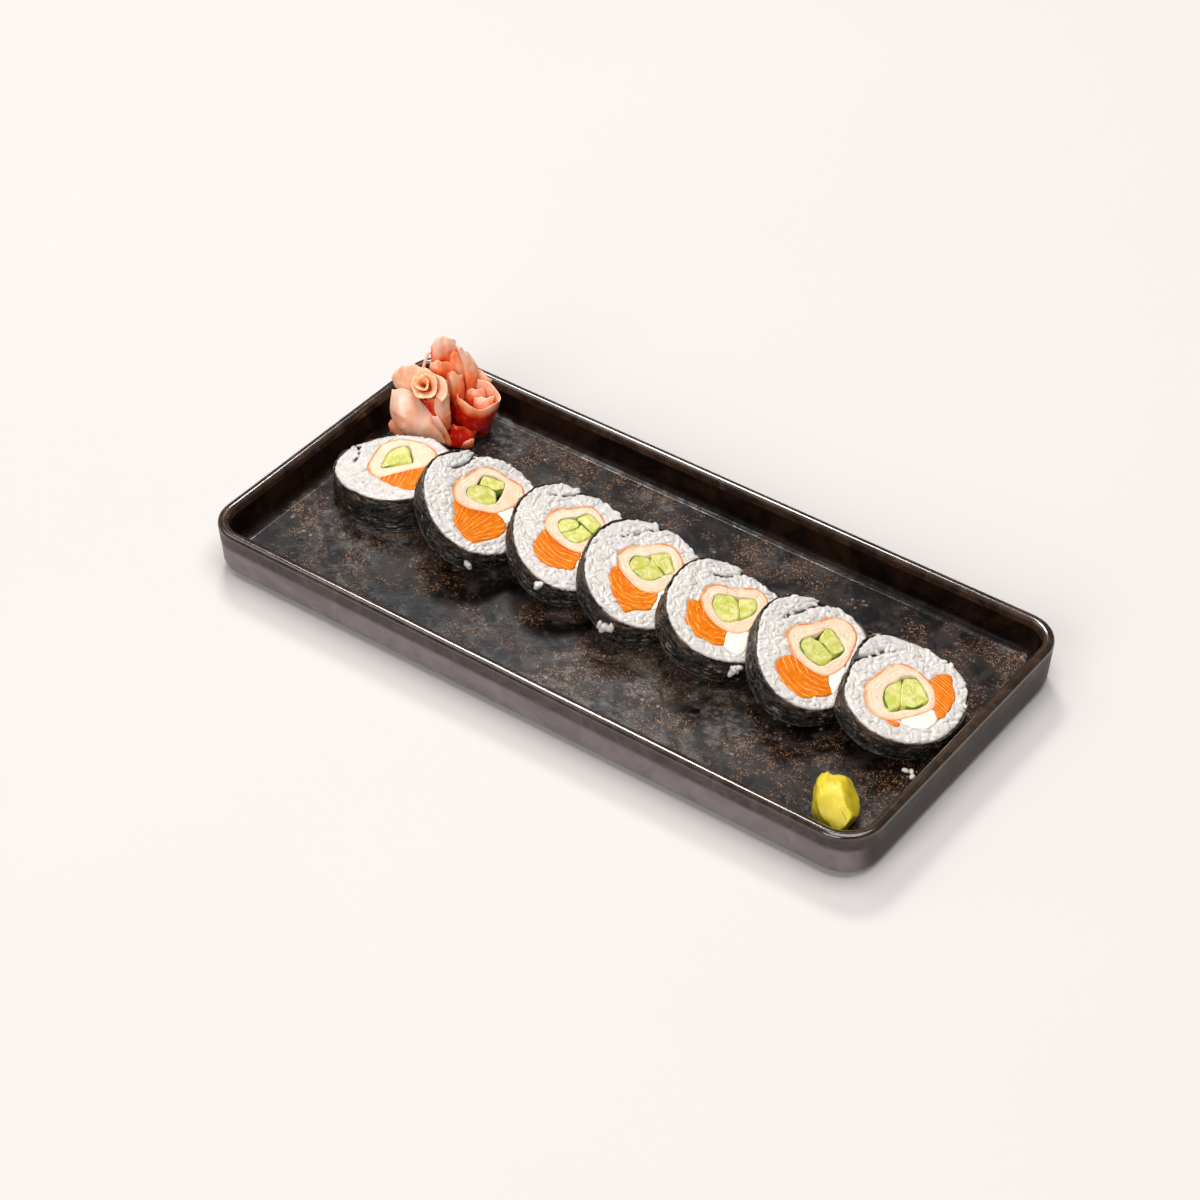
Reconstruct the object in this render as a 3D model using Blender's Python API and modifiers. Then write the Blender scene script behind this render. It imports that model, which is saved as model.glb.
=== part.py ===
"""Seven leaning slices of a thick sushi roll on a rectangular stoneware tray,
with a rosette of pickled ginger and a spoonful of wasabi.

Metres, +Z up. The tray stands on the plane z = 0 and is centred on the origin,
its long side along X. Sizes below are in millimetres and are scaled by MM."""
from math import cos, pi, radians, sin, tan

import bmesh
import bpy
from mathutils import Vector

MM = 0.001
GAP = 0.3                      # clearance between pieces that touch

# Tray
TRAY_LENGTH = 310.0
TRAY_WIDTH = 148.0
TRAY_HEIGHT = 22.0
TRAY_CORNER = 16.0             # outer corner radius at the rim
CORNER_STEPS = 8
TIGHTEST_CORNER = 2.5
RIM_WIDTH = 4.6
FOOT_HEIGHT = 1.5
FOOT_INSET = 11.0
BASE_INSET = 1.2               # how far the wall leans in on its way down
EDGE_ROUND = 3.0               # rounding under the wall
FLOOR_TOP = 8.2
WALL_LEAN = 2.6                # how far the inner wall leans in on its way down
FLOOR_FILLET = 4.0

# Roll slices
NORI = 0.6                     # thickness of the seaweed sheet
LAYER = NORI + 0.35            # pitch of two sheet layers lying on each other
RING_STEP = 10                 # degrees between the points of a slice's outline
TAIL_STEPS = 6
CUTTER_PAST = 8.0              # how far a cutter runs past both cuts of a slice

# Each slice: where its back face's middle is over the tray, how thick it is, how far
# its axis leans from upright and towards which heading, the radii of its outline
# every 30 degrees, the tucked-in end of the seaweed (angle where it leaves the
# outer layer, span and depth of the tuck), and the outlines of what it is filled
# with. The fillings' points are in the slice's own plane, x down the slope.
SLICES = {
    1: dict(
        at=(-114.0, -1.6), thick=15.2, lean=0.0, heading=0.0, slant=6.0,
        rim=(23.6, 23.8, 23.8, 23.5, 23.8, 25.2, 26.4, 26.2, 24.0, 22.8, 24.0, 24.4),
        tuck=(161, 38, 7.5),
        surimi=[(9.5, 14), (6, 17), (-2, 18.5), (-10, 17), (-14, 13), (-15.2, 8), (-13, 1),
                (-11, -5), (-6, -9), (-1, -9.3), (2, -5), (7, 2), (11.5, 7.5)],
        core=[(-5.5, 14.5), (-9.8, 9), (-8, 2.5), (-5.2, -3.5), (-2.5, -2), (4.2, 5.2), (0, 10)],
        batons=[[(-6.8, 13.2), (-9.4, 7), (-5, -3), (-3.4, -0.4), (-0.8, 4.2), (3.4, 5.2), (-3.6, 11.8)]],
        salmon=[(-0.5, -9.6), (4, -10.4), (9, -10.8), (14, -10.2), (17.5, -8.5), (16.5, -4),
                (13.5, 1.5), (11.5, 6.5), (7, 5), (3, 0), (-0.5, -5)],
        cheese=None),
    2: dict(
        at=(-73.2, -4.4), thick=11.6, lean=25.0, heading=1.0, slant=0.0,
        rim=(24.6, 24.8, 26.0, 25.5, 24.8, 25.0, 26.0, 24.8, 24.2, 25.5, 26.5, 25.6),
        tuck=(124, 50, 7.5),
        surimi=[(10.6, 11), (9.5, 17), (5.5, 19.5), (0.5, 18), (-4.5, 17), (-9, 15), (-11.2, 10.5),
                (-11.6, 5), (-12.6, -1), (-10.5, -5.5), (-6, -8.5), (-1, -7.2), (3.5, -3.5), (8, 1)],
        core=[(0.6, 15), (-7.3, 10.6), (-5.8, 4.6), (-7.2, 0.5), (-5.5, -2.4), (0.2, -1.3), (4.6, 4)],
        batons=[[(-6.9, 0.6), (-5.8, -2.2), (-3.6, -2.3), (0, -1), (2.8, 0.8), (4.2, 4.4), (0.8, 7.8),
                 (-2.4, 7.2), (-5.3, 4.4)],
                [(-7, 10.5), (-4, 12.4), (0.5, 14.7), (1.8, 12), (0.4, 8.6), (-2.2, 8), (-4.8, 5.6)]],
        salmon=[(-8, -7), (-5.5, -10.6), (-2.5, -13), (-0.5, -17), (4, -18), (10.5, -18.8),
                (13, -14), (15.5, -8), (15.5, -2.5), (12.5, 0.2), (8.5, 0.6), (3.5, -2), (-2, -6)],
        cheese=[(7.6, 0.4), (9.4, -1.6), (12.6, -1), (14.2, 2), (12.6, 6), (10.4, 8.6), (8, 6)]),
    3: dict(
        at=(-31.2, 1.6), thick=11.2, lean=19.5, heading=-8.0, slant=0.0,
        rim=(24.5, 24.5, 25.2, 25.2, 25.2, 27.0, 25.8, 24.4, 24.8, 26.4, 27.2, 25.6),
        tuck=(105, 50, 6.0),
        surimi=[(10, 4), (9.4, 10), (6.5, 14.5), (1.5, 17), (-3.5, 17.5), (-6.8, 13.5), (-9, 10),
                (-12.2, 6.4), (-13, 1.5), (-11.4, -3), (-7, -5.8), (0, -6.3), (5.5, -4.8), (9, -1.4)],
        core=[(-2.2, 14.2), (-4.2, 9.2), (-8, 3.4), (-6.4, -0.6), (-1, -2.2), (3.6, -1),
              (5.6, 6), (4.6, 13.2)],
        batons=[[(-7.8, 2.6), (-6.5, 5.5), (-3.5, 7.3), (-1.2, 6), (-2.9, 1), (-4.5, -1.2), (-6.6, 0.4)],
                [(-1, 7.4), (4.9, 6.3), (3.2, -0.8), (0.4, -2), (-3.4, -1.6), (-2, 1.6), (-0.4, 5.4)],
                [(-2, 13.9), (-3.6, 9.2), (-2, 8.6), (4.9, 7.5), (4.4, 12.9)]],
        salmon=[(-9.4, -5.4), (-9, -9.5), (-8.2, -14), (-5, -17), (-1.5, -18.6), (2.5, -18),
                (7, -15.4), (10, -12.4), (9.2, -8.6), (7.6, -3.6), (2, -4.6), (-4, -4.6)],
        cheese=[(6.6, -4), (8.8, 0.8), (11, -0.4), (12, -4.4), (11.8, -8.4), (9.4, -11), (7.4, -7.4)]),
    4: dict(
        at=(4.9, -0.4), thick=11.2, lean=20.5, heading=-4.0, slant=0.0,
        rim=(24.8, 24.8, 25.3, 26.8, 26.5, 26.5, 25.3, 24.5, 25.5, 26.9, 27.2, 26.0),
        tuck=(100, 56, 7.5),
        surimi=[(11, 4), (10.6, 10), (7.5, 16), (1.5, 19), (-3.4, 17.4), (-6.2, 13.6), (-8, 10),
                (-11.4, 6.4), (-12.8, 1.5), (-11.6, -2.8), (-8.4, -5.8), (-2, -7.6), (4, -7.6), (9, -4)],
        core=[(1.4, 15.3), (-2.2, 11.4), (-4, 7), (-7.8, 3.4), (-6.4, -1.4), (-1, -3),
              (4, -1), (6, 6), (7.6, 10.2)],
        batons=[[(-7.3, 3), (-5.6, 5.6), (-2.9, 7), (-1.5, 5.6), (-2.2, 1), (-3.9, -2.2), (-6.2, -1)],
                [(1.2, 15), (-1, 12.4), (-2.9, 9), (-2, 8.2), (6.2, 6.2), (7.4, 10), (3.6, 12.2)],
                [(-2.1, 7.4), (5.5, 5.4), (4, 0), (1, -2.4), (-2.9, -2.5), (-1.3, 1.6), (-0.8, 5)]],
        salmon=[(-9.4, -6), (-9.8, -9), (-8.2, -12.2), (-4.6, -15.4), (-0.6, -18.2), (3.6, -19.4),
                (6.4, -20.6), (7.6, -17), (10.6, -14), (12, -10.6), (9.6, -3.6), (4, -6), (-4, -6)],
        cheese=[(8.2, -3), (10, 3.4), (12.2, 2.4), (13.8, -1.8), (14.2, -7), (12.4, -11.4), (10, -8)]),
    5: dict(
        at=(42.9, -1.9), thick=12.4, lean=21.0, heading=6.0, slant=0.0,
        rim=(24.2, 24.8, 26.0, 24.4, 24.7, 25.9, 24.2, 24.2, 25.3, 26.2, 25.4, 24.7),
        tuck=(96, 50, 8.0),
        surimi=[(12.4, 4), (12, 11), (9.6, 16.6), (5, 19.3), (1, 18), (-2, 14.4), (-5, 10.6),
                (-9, 8.4), (-11.6, 4), (-11, -1), (-8.6, -5), (-4, -7.6), (2, -8.6), (8, -6.8), (11.4, -2)],
        core=[(4.6, 14.4), (0.4, 10), (-2.2, 7.8), (-6, 5), (-6.9, 2), (-4.4, -2.6), (1.6, -4.8),
              (5, -2.4), (8.2, 6), (7.6, 11.4)],
        batons=[[(-6.4, 2.4), (-5, 4.8), (-1.8, 7.2), (0.6, 6.6), (2.9, 4.7), (5.8, 1), (4.4, -2.4),
                 (1.8, -4.2), (-1, -3.9), (-4.7, -1.2)],
                [(0.6, 9.4), (4.6, 13.8), (7.4, 10.6), (7.4, 5), (5.8, 2.6), (2.6, 6.4)]],
        salmon=[(-9, -5.2), (-12.3, -7.6), (-11, -10.8), (-9, -13.4), (-7, -17), (-3, -17.8),
                (1, -19.6), (1.8, -17.8), (6.4, -17), (9.4, -13.6), (7.4, -10.4), (5.6, -6.6), (-1, -6.8)],
        cheese=[(5.2, -7), (10.2, -1.4), (13, -1.4), (15.8, -7), (16.6, -12), (13.6, -14),
                (9, -14), (6.2, -10.4)]),
    6: dict(
        at=(82.5, -0.9), thick=12.0, lean=22.5, heading=-5.0, slant=0.0,
        rim=(24.0, 24.6, 25.4, 26.5, 25.2, 26.2, 25.0, 22.8, 24.2, 26.8, 27.2, 25.0),
        tuck=(104, 66, 8.2),
        surimi=[(12.3, 5), (10.6, 12), (8.2, 18.6), (4, 21.4), (-1.5, 20.6), (-5, 16.4), (-7, 11),
                (-9.6, 7.4), (-11.8, 3.6), (-11.8, -1.6), (-8.8, -4.2), (-5.2, -7), (0, -7.8),
                (6, -7.2), (10.6, -4.4), (12, 0)],
        core=[(0, 13.8), (-2.6, 12), (-3, 8), (-5, 4), (-6, 0.4), (-3, -3.5),
              (5.6, -3.6), (7.3, 2), (8.4, 10.4)],
        batons=[[(-5.4, 0.6), (-4, 4), (-1, 5.2), (6.4, 4.5), (6.4, 0), (5, -3), (-2, -3), (-4.5, -1.9)],
                [(-2, 11.9), (0, 13.1), (7.8, 10.3), (6.8, 6.3), (0.2, 6.3), (-1.6, 8)]],
        salmon=[(-4.6, -8.4), (-6.8, -12.6), (-6.4, -16), (-3.6, -18.2), (-0.6, -20), (5, -20.4),
                (9.8, -19.8), (12, -16.4), (15.4, -12), (15.8, -9), (12.6, -7), (9.8, -3.8),
                (5, -5.8), (0, -6.4)],
        cheese=[(10.4, -3.4), (11, 4.6), (13.4, 3.4), (14.6, 0), (15.8, -4), (17, -9), (13.6, -9.6)]),
    7: dict(
        at=(121.6, 3.6), thick=10.6, lean=19.5, heading=-3.0, slant=0.0,
        rim=(23.9, 24.8, 26.4, 23.7, 23.5, 26.4, 23.7, 23.8, 26.2, 26.4, 25.2, 24.5),
        tuck=(198, -63, 8.0),
        surimi=[(12.6, 1), (9.8, 6.2), (6.6, 9.2), (0.5, 10.5), (-6, 9.6), (-9.5, 6.2), (-10.8, 1),
                (-11.6, -4), (-12, -9.4), (-9, -14.6), (-4.6, -18.2), (0.4, -18.4), (5, -15), (9.4, -7.4)],
        core=[(0, 8), (-3.9, 4.2), (-4.2, 0), (-5.6, -4), (-3.6, -10), (1.6, -13.4),
              (4.6, -8.2), (8.2, -4),
              (9.4, 2.6), (5, 6.2)],
        batons=[[(-3.8, 2), (-5, -2.4), (-4.8, -6.2), (-2.6, -10), (1.4, -12.8), (2.6, -8.4), (0.8, -5.4),
                 (-1.2, -1.4)],
                [(-2.6, 4), (0, 7.2), (4.2, 5.8), (8.8, 2.4), (7.8, -2.2), (6.6, -5.2), (3.2, -7.4),
                 (1.4, -4.6), (-0.8, -0.8)]],
        salmon=[(4.4, 13), (6.4, 17.2), (9, 18.8), (11, 16), (14.2, 13.2), (16.2, 10), (16.8, 6.4),
                (17.4, 2), (16.4, -1.4), (13.6, 0.2), (11.2, 2.8), (8.6, 6.4), (5.6, 9)],
        cheese=[(7.2, -8), (9.4, -4.4), (11.6, 1.6), (15, 1.2), (16.6, -3), (15.8, -8.6), (12.4, -11.8),
                (8.6, -13.4), (6.2, -12.2)],
        salmon_scrap=[(3, -17.2), (5.4, -15.6), (7.4, -14.4), (7.8, -16), (5.6, -17.4)]),
}

# Wasabi: a spoon-shaped egg with a flat underside
WASABI_AT = (130.2, -50.8)
WASABI_HALF = (14.4, 9.6, 12.4)       # half length, half width, height
WASABI_TURN = -50.0
WASABI_RINGS = 10
WASABI_SEGMENTS = 18
WASABI_SIT = 0.42                     # height of its widest level, as a share of the whole
WASABI_BLUNT = 2.3                    # how blunt its ends are
WASABI_RIDGES = 5
WASABI_RIDGE = 0.05                   # depth of the ridges, as a share of the radius

# Ginger: thin folded slices set together like a rose. Each stands between a lower and an
# upper edge; a station gives its lower, middle and upper point as (right, away, up) from
# the rosette's middle on the tray floor, in axes turned by GINGER_TURN about Z.
GINGER_AT = (-122.0, 45.0)
GINGER_TURN = 36.5
GINGER_THICK = 1.2
GINGER_ALONG = 2                      # steps from one station to the next
GINGER_UP = 4                         # steps from the lower to the upper edge
GINGER = {
    "back_lobe": [
        ((-11.5, 17, 7), (-10.3, 16.5, 19), (-8.7, 16.8, 28.5)),
        ((-8.2, 18, 6), (-8.1, 17.4, 22), (-6.5, 17.8, 34)),
        ((-4.3, 15, 5), (-3.3, 13.2, 25), (-2.7, 18.3, 37)),
        ((-0.5, 13.4, 5), (0.8, 13, 22), (1.5, 17.8, 35)),
        ((1.6, 17, 6), (2.8, 17.7, 19), (3.2, 18.8, 30.5))],
    "back_panel": [
        ((2.8, 13.4, 8), (3.6, 13.8, 20), (3.4, 16, 33.2)),
        ((6, 13.6, 8), (7, 13.6, 20), (6.6, 16, 29.4)),
        ((9.2, 14.6, 9), (10.2, 14.6, 16), (10.9, 15.4, 22.2))],
    "front": [
        ((-23, -1.6, 6), (-25.4, -1.2, 15), (-24, 2.4, 23.5)),
        ((-21.3, -4.6, 3), (-21, -7, 16), (-18.8, -3.8, 27)),
        ((-15.8, -7.8, 1.5), (-14.3, -10.8, 14.5), (-13.4, -9.4, 26)),
        ((-9.1, -11.4, 1.2), (-8.9, -12.6, 12), (-9.4, -9.4, 21.6)),
        ((-2.7, -14.2, 1.2), (-5.2, -13.2, 6.6), (-7.7, -10, 13))],
    "middle": [
        ((-7.6, 2.6, 5), (-8.4, -0.4, 10.5), (-7.4, -1.8, 16.6)),
        ((-5.2, 1, 3), (-5, -1.6, 11), (-3.8, -3.2, 19.4)),
        ((-1.8, 0.2, 2), (-2, -2.2, 11), (-2.1, -3.6, 18))],
    "cup": [
        ((-1.6, 5.4, 3), (-1.8, 1.8, 12), (-1.4, 0.2, 18)),
        ((2.7, -0.1, 1.2), (4.2, -2.8, 13), (4.6, -1.8, 21)),
        ((7.3, -2.6, 1), (8.6, -5.2, 12), (9.1, -3.1, 18)),
        ((12.3, -3.3, 1), (13.4, -4.2, 9.5), (14, -2.9, 15)),
        ((15.2, 4.1, 1.2), (18, 3.4, 9), (20, 3, 15)),
        ((12.6, 10, 2.6), (15.8, 8.8, 11), (17.1, 7.3, 18.5)),
        ((9.3, 11.4, 4), (11.3, 10.6, 12.6), (12.1, 9.1, 20)),
        ((5.6, 10, 4), (6.2, 8, 11.6), (7.2, 5.2, 19))],
    "under": [
        ((-4.2, -11, 1.2), (-6.8, -6.8, 6.4), (-9.4, -3, 12)),
        ((0.4, -13.3, 1.2), (-1.8, -8.7, 5), (-3.4, -6.8, 8.6)),
        ((4.7, -12.6, 1.2), (3.2, -9.4, 4), (1.6, -6.4, 6.8)),
        ((7.6, -9.4, 1.2), (7.1, -8.2, 2.6), (6.6, -7.4, 4))],
    "loop": [
        ((-12.7, 12.6, 23), (-11.4, 12.6, 23.4), (-10.2, 12.8, 23)),
        ((-12, 14.4, 27), (-10.9, 14.2, 27), (-9.9, 14, 26.2)),
        ((-10.6, 15, 29.4), (-10.2, 14.8, 28.4), (-9.8, 14.4, 27.6))],
}
# Its rolled slice: (angle, radius) along the spiral of its mouth
GINGER_ROLL = [(0, 1.6), (70, 2.2), (140, 2.8), (200, 3.8), (260, 5.2), (315, 7.6), (360, 9.8),
               (400, 9.6), (435, 8), (470, 8), (500, 9), (525, 11)]
GINGER_MOUTH = (-14.0, 2.0, 24.5)
GINGER_POINT = (-8.8, 7.0, 9.5)       # where the rolled slice tapers to
GINGER_TAPER = 0.3
GINGER_FACING = 40.0                  # degrees by which the mouth is tipped back
COLOURS = {
    "tray": ((0.035, 0.028, 0.026), 0.45, 0.0),
    "nori": ((0.012, 0.018, 0.012), 0.35, 0.0),
    "rice": ((0.82, 0.80, 0.76), 0.55, 0.0),
    "surimi": ((0.90, 0.70, 0.52), 0.45, 0.0),
    "cucumber": ((0.62, 0.66, 0.22), 0.35, 0.0),
    "salmon": ((0.90, 0.28, 0.04), 0.40, 0.0),
    "cheese": ((0.92, 0.86, 0.74), 0.50, 0.0),
    "wasabi": ((0.72, 0.55, 0.06), 0.45, 0.0),
    "ginger": ((0.85, 0.42, 0.27), 0.35, 0.0),
}


def clear_scene():
    for obj in list(bpy.data.objects):
        bpy.data.objects.remove(obj, do_unlink=True)


def new_collection(name):
    collection = bpy.data.collections.new(name)
    bpy.context.scene.collection.children.link(collection)
    return collection


def material(name):
    """The piece's own Principled material."""
    colour, roughness, metallic = COLOURS[name]
    mat = bpy.data.materials.get(name)
    if mat is None:
        mat = bpy.data.materials.new(name)
        mat.use_nodes = True
        shader = mat.node_tree.nodes["Principled BSDF"]
        shader.inputs["Base Color"].default_value = (*colour, 1.0)
        shader.inputs["Roughness"].default_value = roughness
        shader.inputs["Metallic"].default_value = metallic
    return mat


# ---------------------------------------------------------------- outlines

def smooth_loop(points, steps=2):
    """A closed curve through the points (Catmull-Rom), steps points to each span."""
    loop = []
    count = len(points)
    for i in range(count):
        before, here, after, beyond = (Vector(points[(i + k) % count]) for k in (-1, 0, 1, 2))
        for k in range(steps):
            t = k / steps
            loop.append(0.5 * (2 * here + (after - before) * t
                               + (2 * before - 5 * here + 4 * after - beyond) * t ** 2
                               + (3 * here - before - 3 * after + beyond) * t ** 3))
    return loop


def grown(loop, distance):
    """The outline moved outwards by distance, or inwards when it is negative."""
    count = len(loop)
    area = sum(loop[i - 1].x * loop[i].y - loop[i].x * loop[i - 1].y for i in range(count))
    side = 1 if area > 0 else -1
    result = []
    for i in range(count):
        along = ((loop[i] - loop[i - 1]).normalized() + (loop[(i + 1) % count] - loop[i]).normalized())
        along.normalize()
        result.append(loop[i] + side * distance * Vector((along.y, -along.x)))
    return result


def ring_radius(radii, degrees):
    """Radius of a slice's outline, a smooth curve through its twelve radii."""
    count = len(radii)
    place = (degrees % 360) / 360 * count
    i = int(place)
    t = place - i
    before, here, after, beyond = (radii[(i + k) % count] for k in (-1, 0, 1, 2))
    return 0.5 * (2 * here + (after - before) * t
                  + (2 * before - 5 * here + 4 * after - beyond) * t ** 2
                  + (3 * here - before - 3 * after + beyond) * t ** 3)


def polar(radius, degrees):
    return Vector((radius * cos(radians(degrees)), radius * sin(radians(degrees))))


def ease(t):
    t = min(max(t, 0.0), 1.0)
    return t * t * (3 - 2 * t)


class Wrap:
    """The seaweed sheet's path round a slice: a full turn whose inner end is tucked into the rice.

    Angles are counted from the place where the tuck leaves the outer layer, on the
    tuck's side. sense is 1 when the tuck lies anticlockwise of that place, else -1."""

    OVERLAP = 10               # degrees by which the outer end passes the tuck
    SETTLE = 35                # degrees over which the first layer reaches the outline
    POCKET = 0.9               # least thickness of the rice between the tuck and the outer layer
    PAST_TIP = 2.5             # degrees by which the rice clears the tucked end

    def __init__(self, radii, tuck):
        self.radii = radii
        self.start, span, self.depth = tuck
        self.sense = 1 if span > 0 else -1
        self.span = abs(span)

    def angle(self, turn):
        return self.start + self.sense * turn

    def outline(self, turn):
        return ring_radius(self.radii, self.angle(turn))

    def first_layer(self, turn):
        """Middle of the sheet just before the tuck, turn from -SETTLE to 0."""
        drop = LAYER * ease((turn + self.SETTLE) / (self.SETTLE - self.OVERLAP))
        return self.outline(turn) - NORI / 2 - drop

    def tucked(self, turn):
        """Middle of the sheet inside the rice, turn from 0 to span."""
        drop = LAYER + (self.depth - LAYER) * ease(1.5 * turn / self.span)
        return self.outline(turn) - NORI / 2 - drop

    def path(self):
        """(turn, radius) of the sheet's middle from its tucked end to its outer end."""
        tail = [self.span * k / TAIL_STEPS for k in range(TAIL_STEPS, 0, -1)]
        route = [(turn, self.tucked(turn)) for turn in tail]
        last = self.OVERLAP - 360
        for turn in range(0, last, -RING_STEP):
            settled = turn <= -self.SETTLE
            route.append((turn, self.outline(turn) - NORI / 2 if settled else self.first_layer(turn)))
        return route + [(last, self.outline(last) - NORI / 2)]

    def sheet(self):
        """Outline of the sheet's section: out along one side of its path, back along the other."""
        points = [polar(radius, self.angle(turn)) for turn, radius in self.path()]
        sides = ([], [])
        for i, point in enumerate(points):
            ahead = points[min(i + 1, len(points) - 1)] - points[max(i - 1, 0)]
            across = Vector((ahead.y, -ahead.x)).normalized() * NORI / 2
            sides[0].append(point + across)
            sides[1].append(point - across)
        return sides[0] + sides[1][::-1]

    def rice(self):
        """Outline of the rice: inside the sheet, and round the tucked end."""
        clear = NORI / 2 + GAP
        loop = []
        pocket = next(t for t in range(1, int(self.span))
                      if self.outline(t) - NORI - GAP - self.tucked(t) - clear > self.POCKET)
        turns = [pocket + 2] + list(range(pocket + 8, 355 - self.SETTLE, RING_STEP))
        for turn in turns:
            loop.append(polar(self.outline(turn) - NORI - GAP, self.angle(turn)))
        for turn in range(-self.SETTLE, 1, 7):
            loop.append(polar(self.first_layer(turn) - clear, self.angle(turn)))
        steps = [self.span * k / TAIL_STEPS for k in range(1, TAIL_STEPS + 1)]
        for turn in steps:
            loop.append(polar(self.tucked(turn) - clear, self.angle(turn)))
        tip = self.span + self.PAST_TIP
        loop.append(polar(self.tucked(self.span), self.angle(tip)))
        for turn in reversed(steps):
            if turn > pocket:
                loop.append(polar(self.tucked(turn) + clear, self.angle(turn)))
        return loop


# ---------------------------------------------------------------- solids

def slab(name, outline, low, high, collection):
    """A flat outline given thickness, from low to high, as a closed mesh."""
    curve = bpy.data.curves.new(name, "CURVE")
    curve.dimensions = "2D"
    curve.fill_mode = "BOTH"
    curve.extrude = (high - low) / 2 * MM
    spline = curve.splines.new("POLY")
    spline.points.add(len(outline) - 1)
    for point, place in zip(spline.points, outline):
        point.co = (place.x * MM, place.y * MM, 0, 1)
    spline.use_cyclic_u = True
    guide = bpy.data.objects.new(name + "_outline", curve)
    bpy.context.scene.collection.objects.link(guide)
    graph = bpy.context.evaluated_depsgraph_get()
    mesh = bpy.data.meshes.new_from_object(guide.evaluated_get(graph))
    bpy.data.objects.remove(guide, do_unlink=True)
    mesh.name = name
    form = bmesh.new()
    form.from_mesh(mesh)
    bmesh.ops.remove_doubles(form, verts=form.verts, dist=0.00001)
    bmesh.ops.translate(form, verts=form.verts, vec=(0, 0, (high + low) / 2 * MM))
    bmesh.ops.recalc_face_normals(form, faces=form.faces)
    form.to_mesh(mesh)
    form.free()
    obj = bpy.data.objects.new(name, mesh)
    collection.objects.link(obj)
    return obj


def cut(piece, cutter):
    modifier = piece.modifiers.new("cut_" + cutter.name, "BOOLEAN")
    modifier.operation = "DIFFERENCE"
    modifier.solver = "EXACT"
    modifier.object = cutter


def slant_top(mesh, thick, degrees):
    """Tilt the upper cut of a slice that was cut askew, keeping the lower one flat."""
    for vertex in mesh.vertices:
        if vertex.co.z > thick / 2 * MM:
            vertex.co.z += tan(radians(degrees)) * vertex.co.x


def build_slice(number, spec, parts, cutters):
    wrap = Wrap(spec["rim"], spec["tuck"])
    thick = spec["thick"]
    name = "roll_%d_" % number
    holder = bpy.data.objects.new("roll_%d" % number, None)
    parts.objects.link(holder)

    def piece(kind, outline, suffix=""):
        obj = slab(name + kind + suffix, outline, 0, thick, parts)
        obj.data.materials.append(material(kind.split("_")[0]))
        if spec["slant"]:
            slant_top(obj.data, thick, spec["slant"])
        return obj

    def cutter(outline, suffix):
        obj = slab(name + suffix + "_cutter", grown(outline, GAP), -CUTTER_PAST, thick + CUTTER_PAST, cutters)
        obj.hide_render = True
        obj.display_type = "WIRE"
        obj.parent = holder
        return obj

    surimi = smooth_loop(spec["surimi"])
    salmon = smooth_loop(spec["salmon"])
    pieces = {}
    pieces["nori"] = piece("nori", wrap.sheet())
    pieces["rice"] = piece("rice", wrap.rice())
    pieces["surimi"] = piece("surimi", surimi)
    pieces["salmon"] = piece("salmon", salmon)
    around_surimi = cutter(surimi, "surimi")
    around_salmon = cutter(salmon, "salmon")
    cut(pieces["surimi"], cutter(smooth_loop(spec["core"]), "core"))
    cut(pieces["salmon"], around_surimi)
    for tool in (around_surimi, around_salmon):
        cut(pieces["rice"], tool)
    for k, baton in enumerate(spec["batons"], 1):
        corners = [Vector(p) for p in baton]
        pieces["cucumber_%d" % k] = piece("cucumber", corners, "_%d" % k)
        cut(pieces["surimi"], cutter(corners, "cucumber_%d" % k))
    if spec["cheese"]:
        cheese = smooth_loop(spec["cheese"])
        pieces["cheese"] = piece("cheese", cheese)
        cut(pieces["cheese"], around_surimi)
        cut(pieces["cheese"], around_salmon)
        cut(pieces["rice"], cutter(cheese, "cheese"))
    if "salmon_scrap" in spec:
        scrap = smooth_loop(spec["salmon_scrap"])
        pieces["salmon_scrap"] = piece("salmon_scrap", scrap)
        cut(pieces["salmon_scrap"], around_surimi)
        cut(pieces["rice"], cutter(scrap, "scrap"))
    for obj in pieces.values():
        obj.parent = holder

    lean = radians(spec["lean"])
    heading = radians(spec["heading"])
    axis = Vector((sin(lean) * cos(heading), sin(lean) * sin(heading), cos(lean)))
    turn = Vector((0, 0, 1)).rotation_difference(axis)
    holder.rotation_mode = "QUATERNION"
    holder.rotation_quaternion = turn
    lowest = min((turn @ p.to_3d()).z for p in wrap.sheet())
    x, y = spec["at"]
    holder.location = Vector((x, y, FLOOR_TOP + GAP - lowest)) * MM


def rounded_rectangle(inset, z):
    """Points of the tray's outline, moved in by inset, at height z."""
    corner = max(TRAY_CORNER - inset, TIGHTEST_CORNER)
    half_x = TRAY_LENGTH / 2 - inset - corner
    half_y = TRAY_WIDTH / 2 - inset - corner
    points = []
    for quarter, (sx, sy) in enumerate(((1, 1), (-1, 1), (-1, -1), (1, -1))):
        for k in range(CORNER_STEPS + 1):
            angle = pi / 2 * (quarter + k / CORNER_STEPS)
            points.append(Vector((sx * half_x + corner * cos(angle), sy * half_y + corner * sin(angle), z)))
    return points


def loft(name, rings, collection, kind):
    """A closed solid through a row of rings that have the same number of points."""
    form = bmesh.new()
    rows = [[form.verts.new(point * MM) for point in ring] for ring in rings]
    for lower, upper in zip(rows, rows[1:]):
        for k in range(len(lower)):
            form.faces.new((lower[k - 1], lower[k], upper[k], upper[k - 1]))
    form.faces.new(reversed(rows[0]))
    form.faces.new(rows[-1])
    bmesh.ops.recalc_face_normals(form, faces=form.faces)
    mesh = bpy.data.meshes.new(name)
    form.to_mesh(mesh)
    form.free()
    mesh.shade_smooth()
    mesh.set_sharp_from_angle(angle=radians(35))
    mesh.materials.append(material(kind))
    obj = bpy.data.objects.new(name, mesh)
    collection.objects.link(obj)
    return obj


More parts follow.
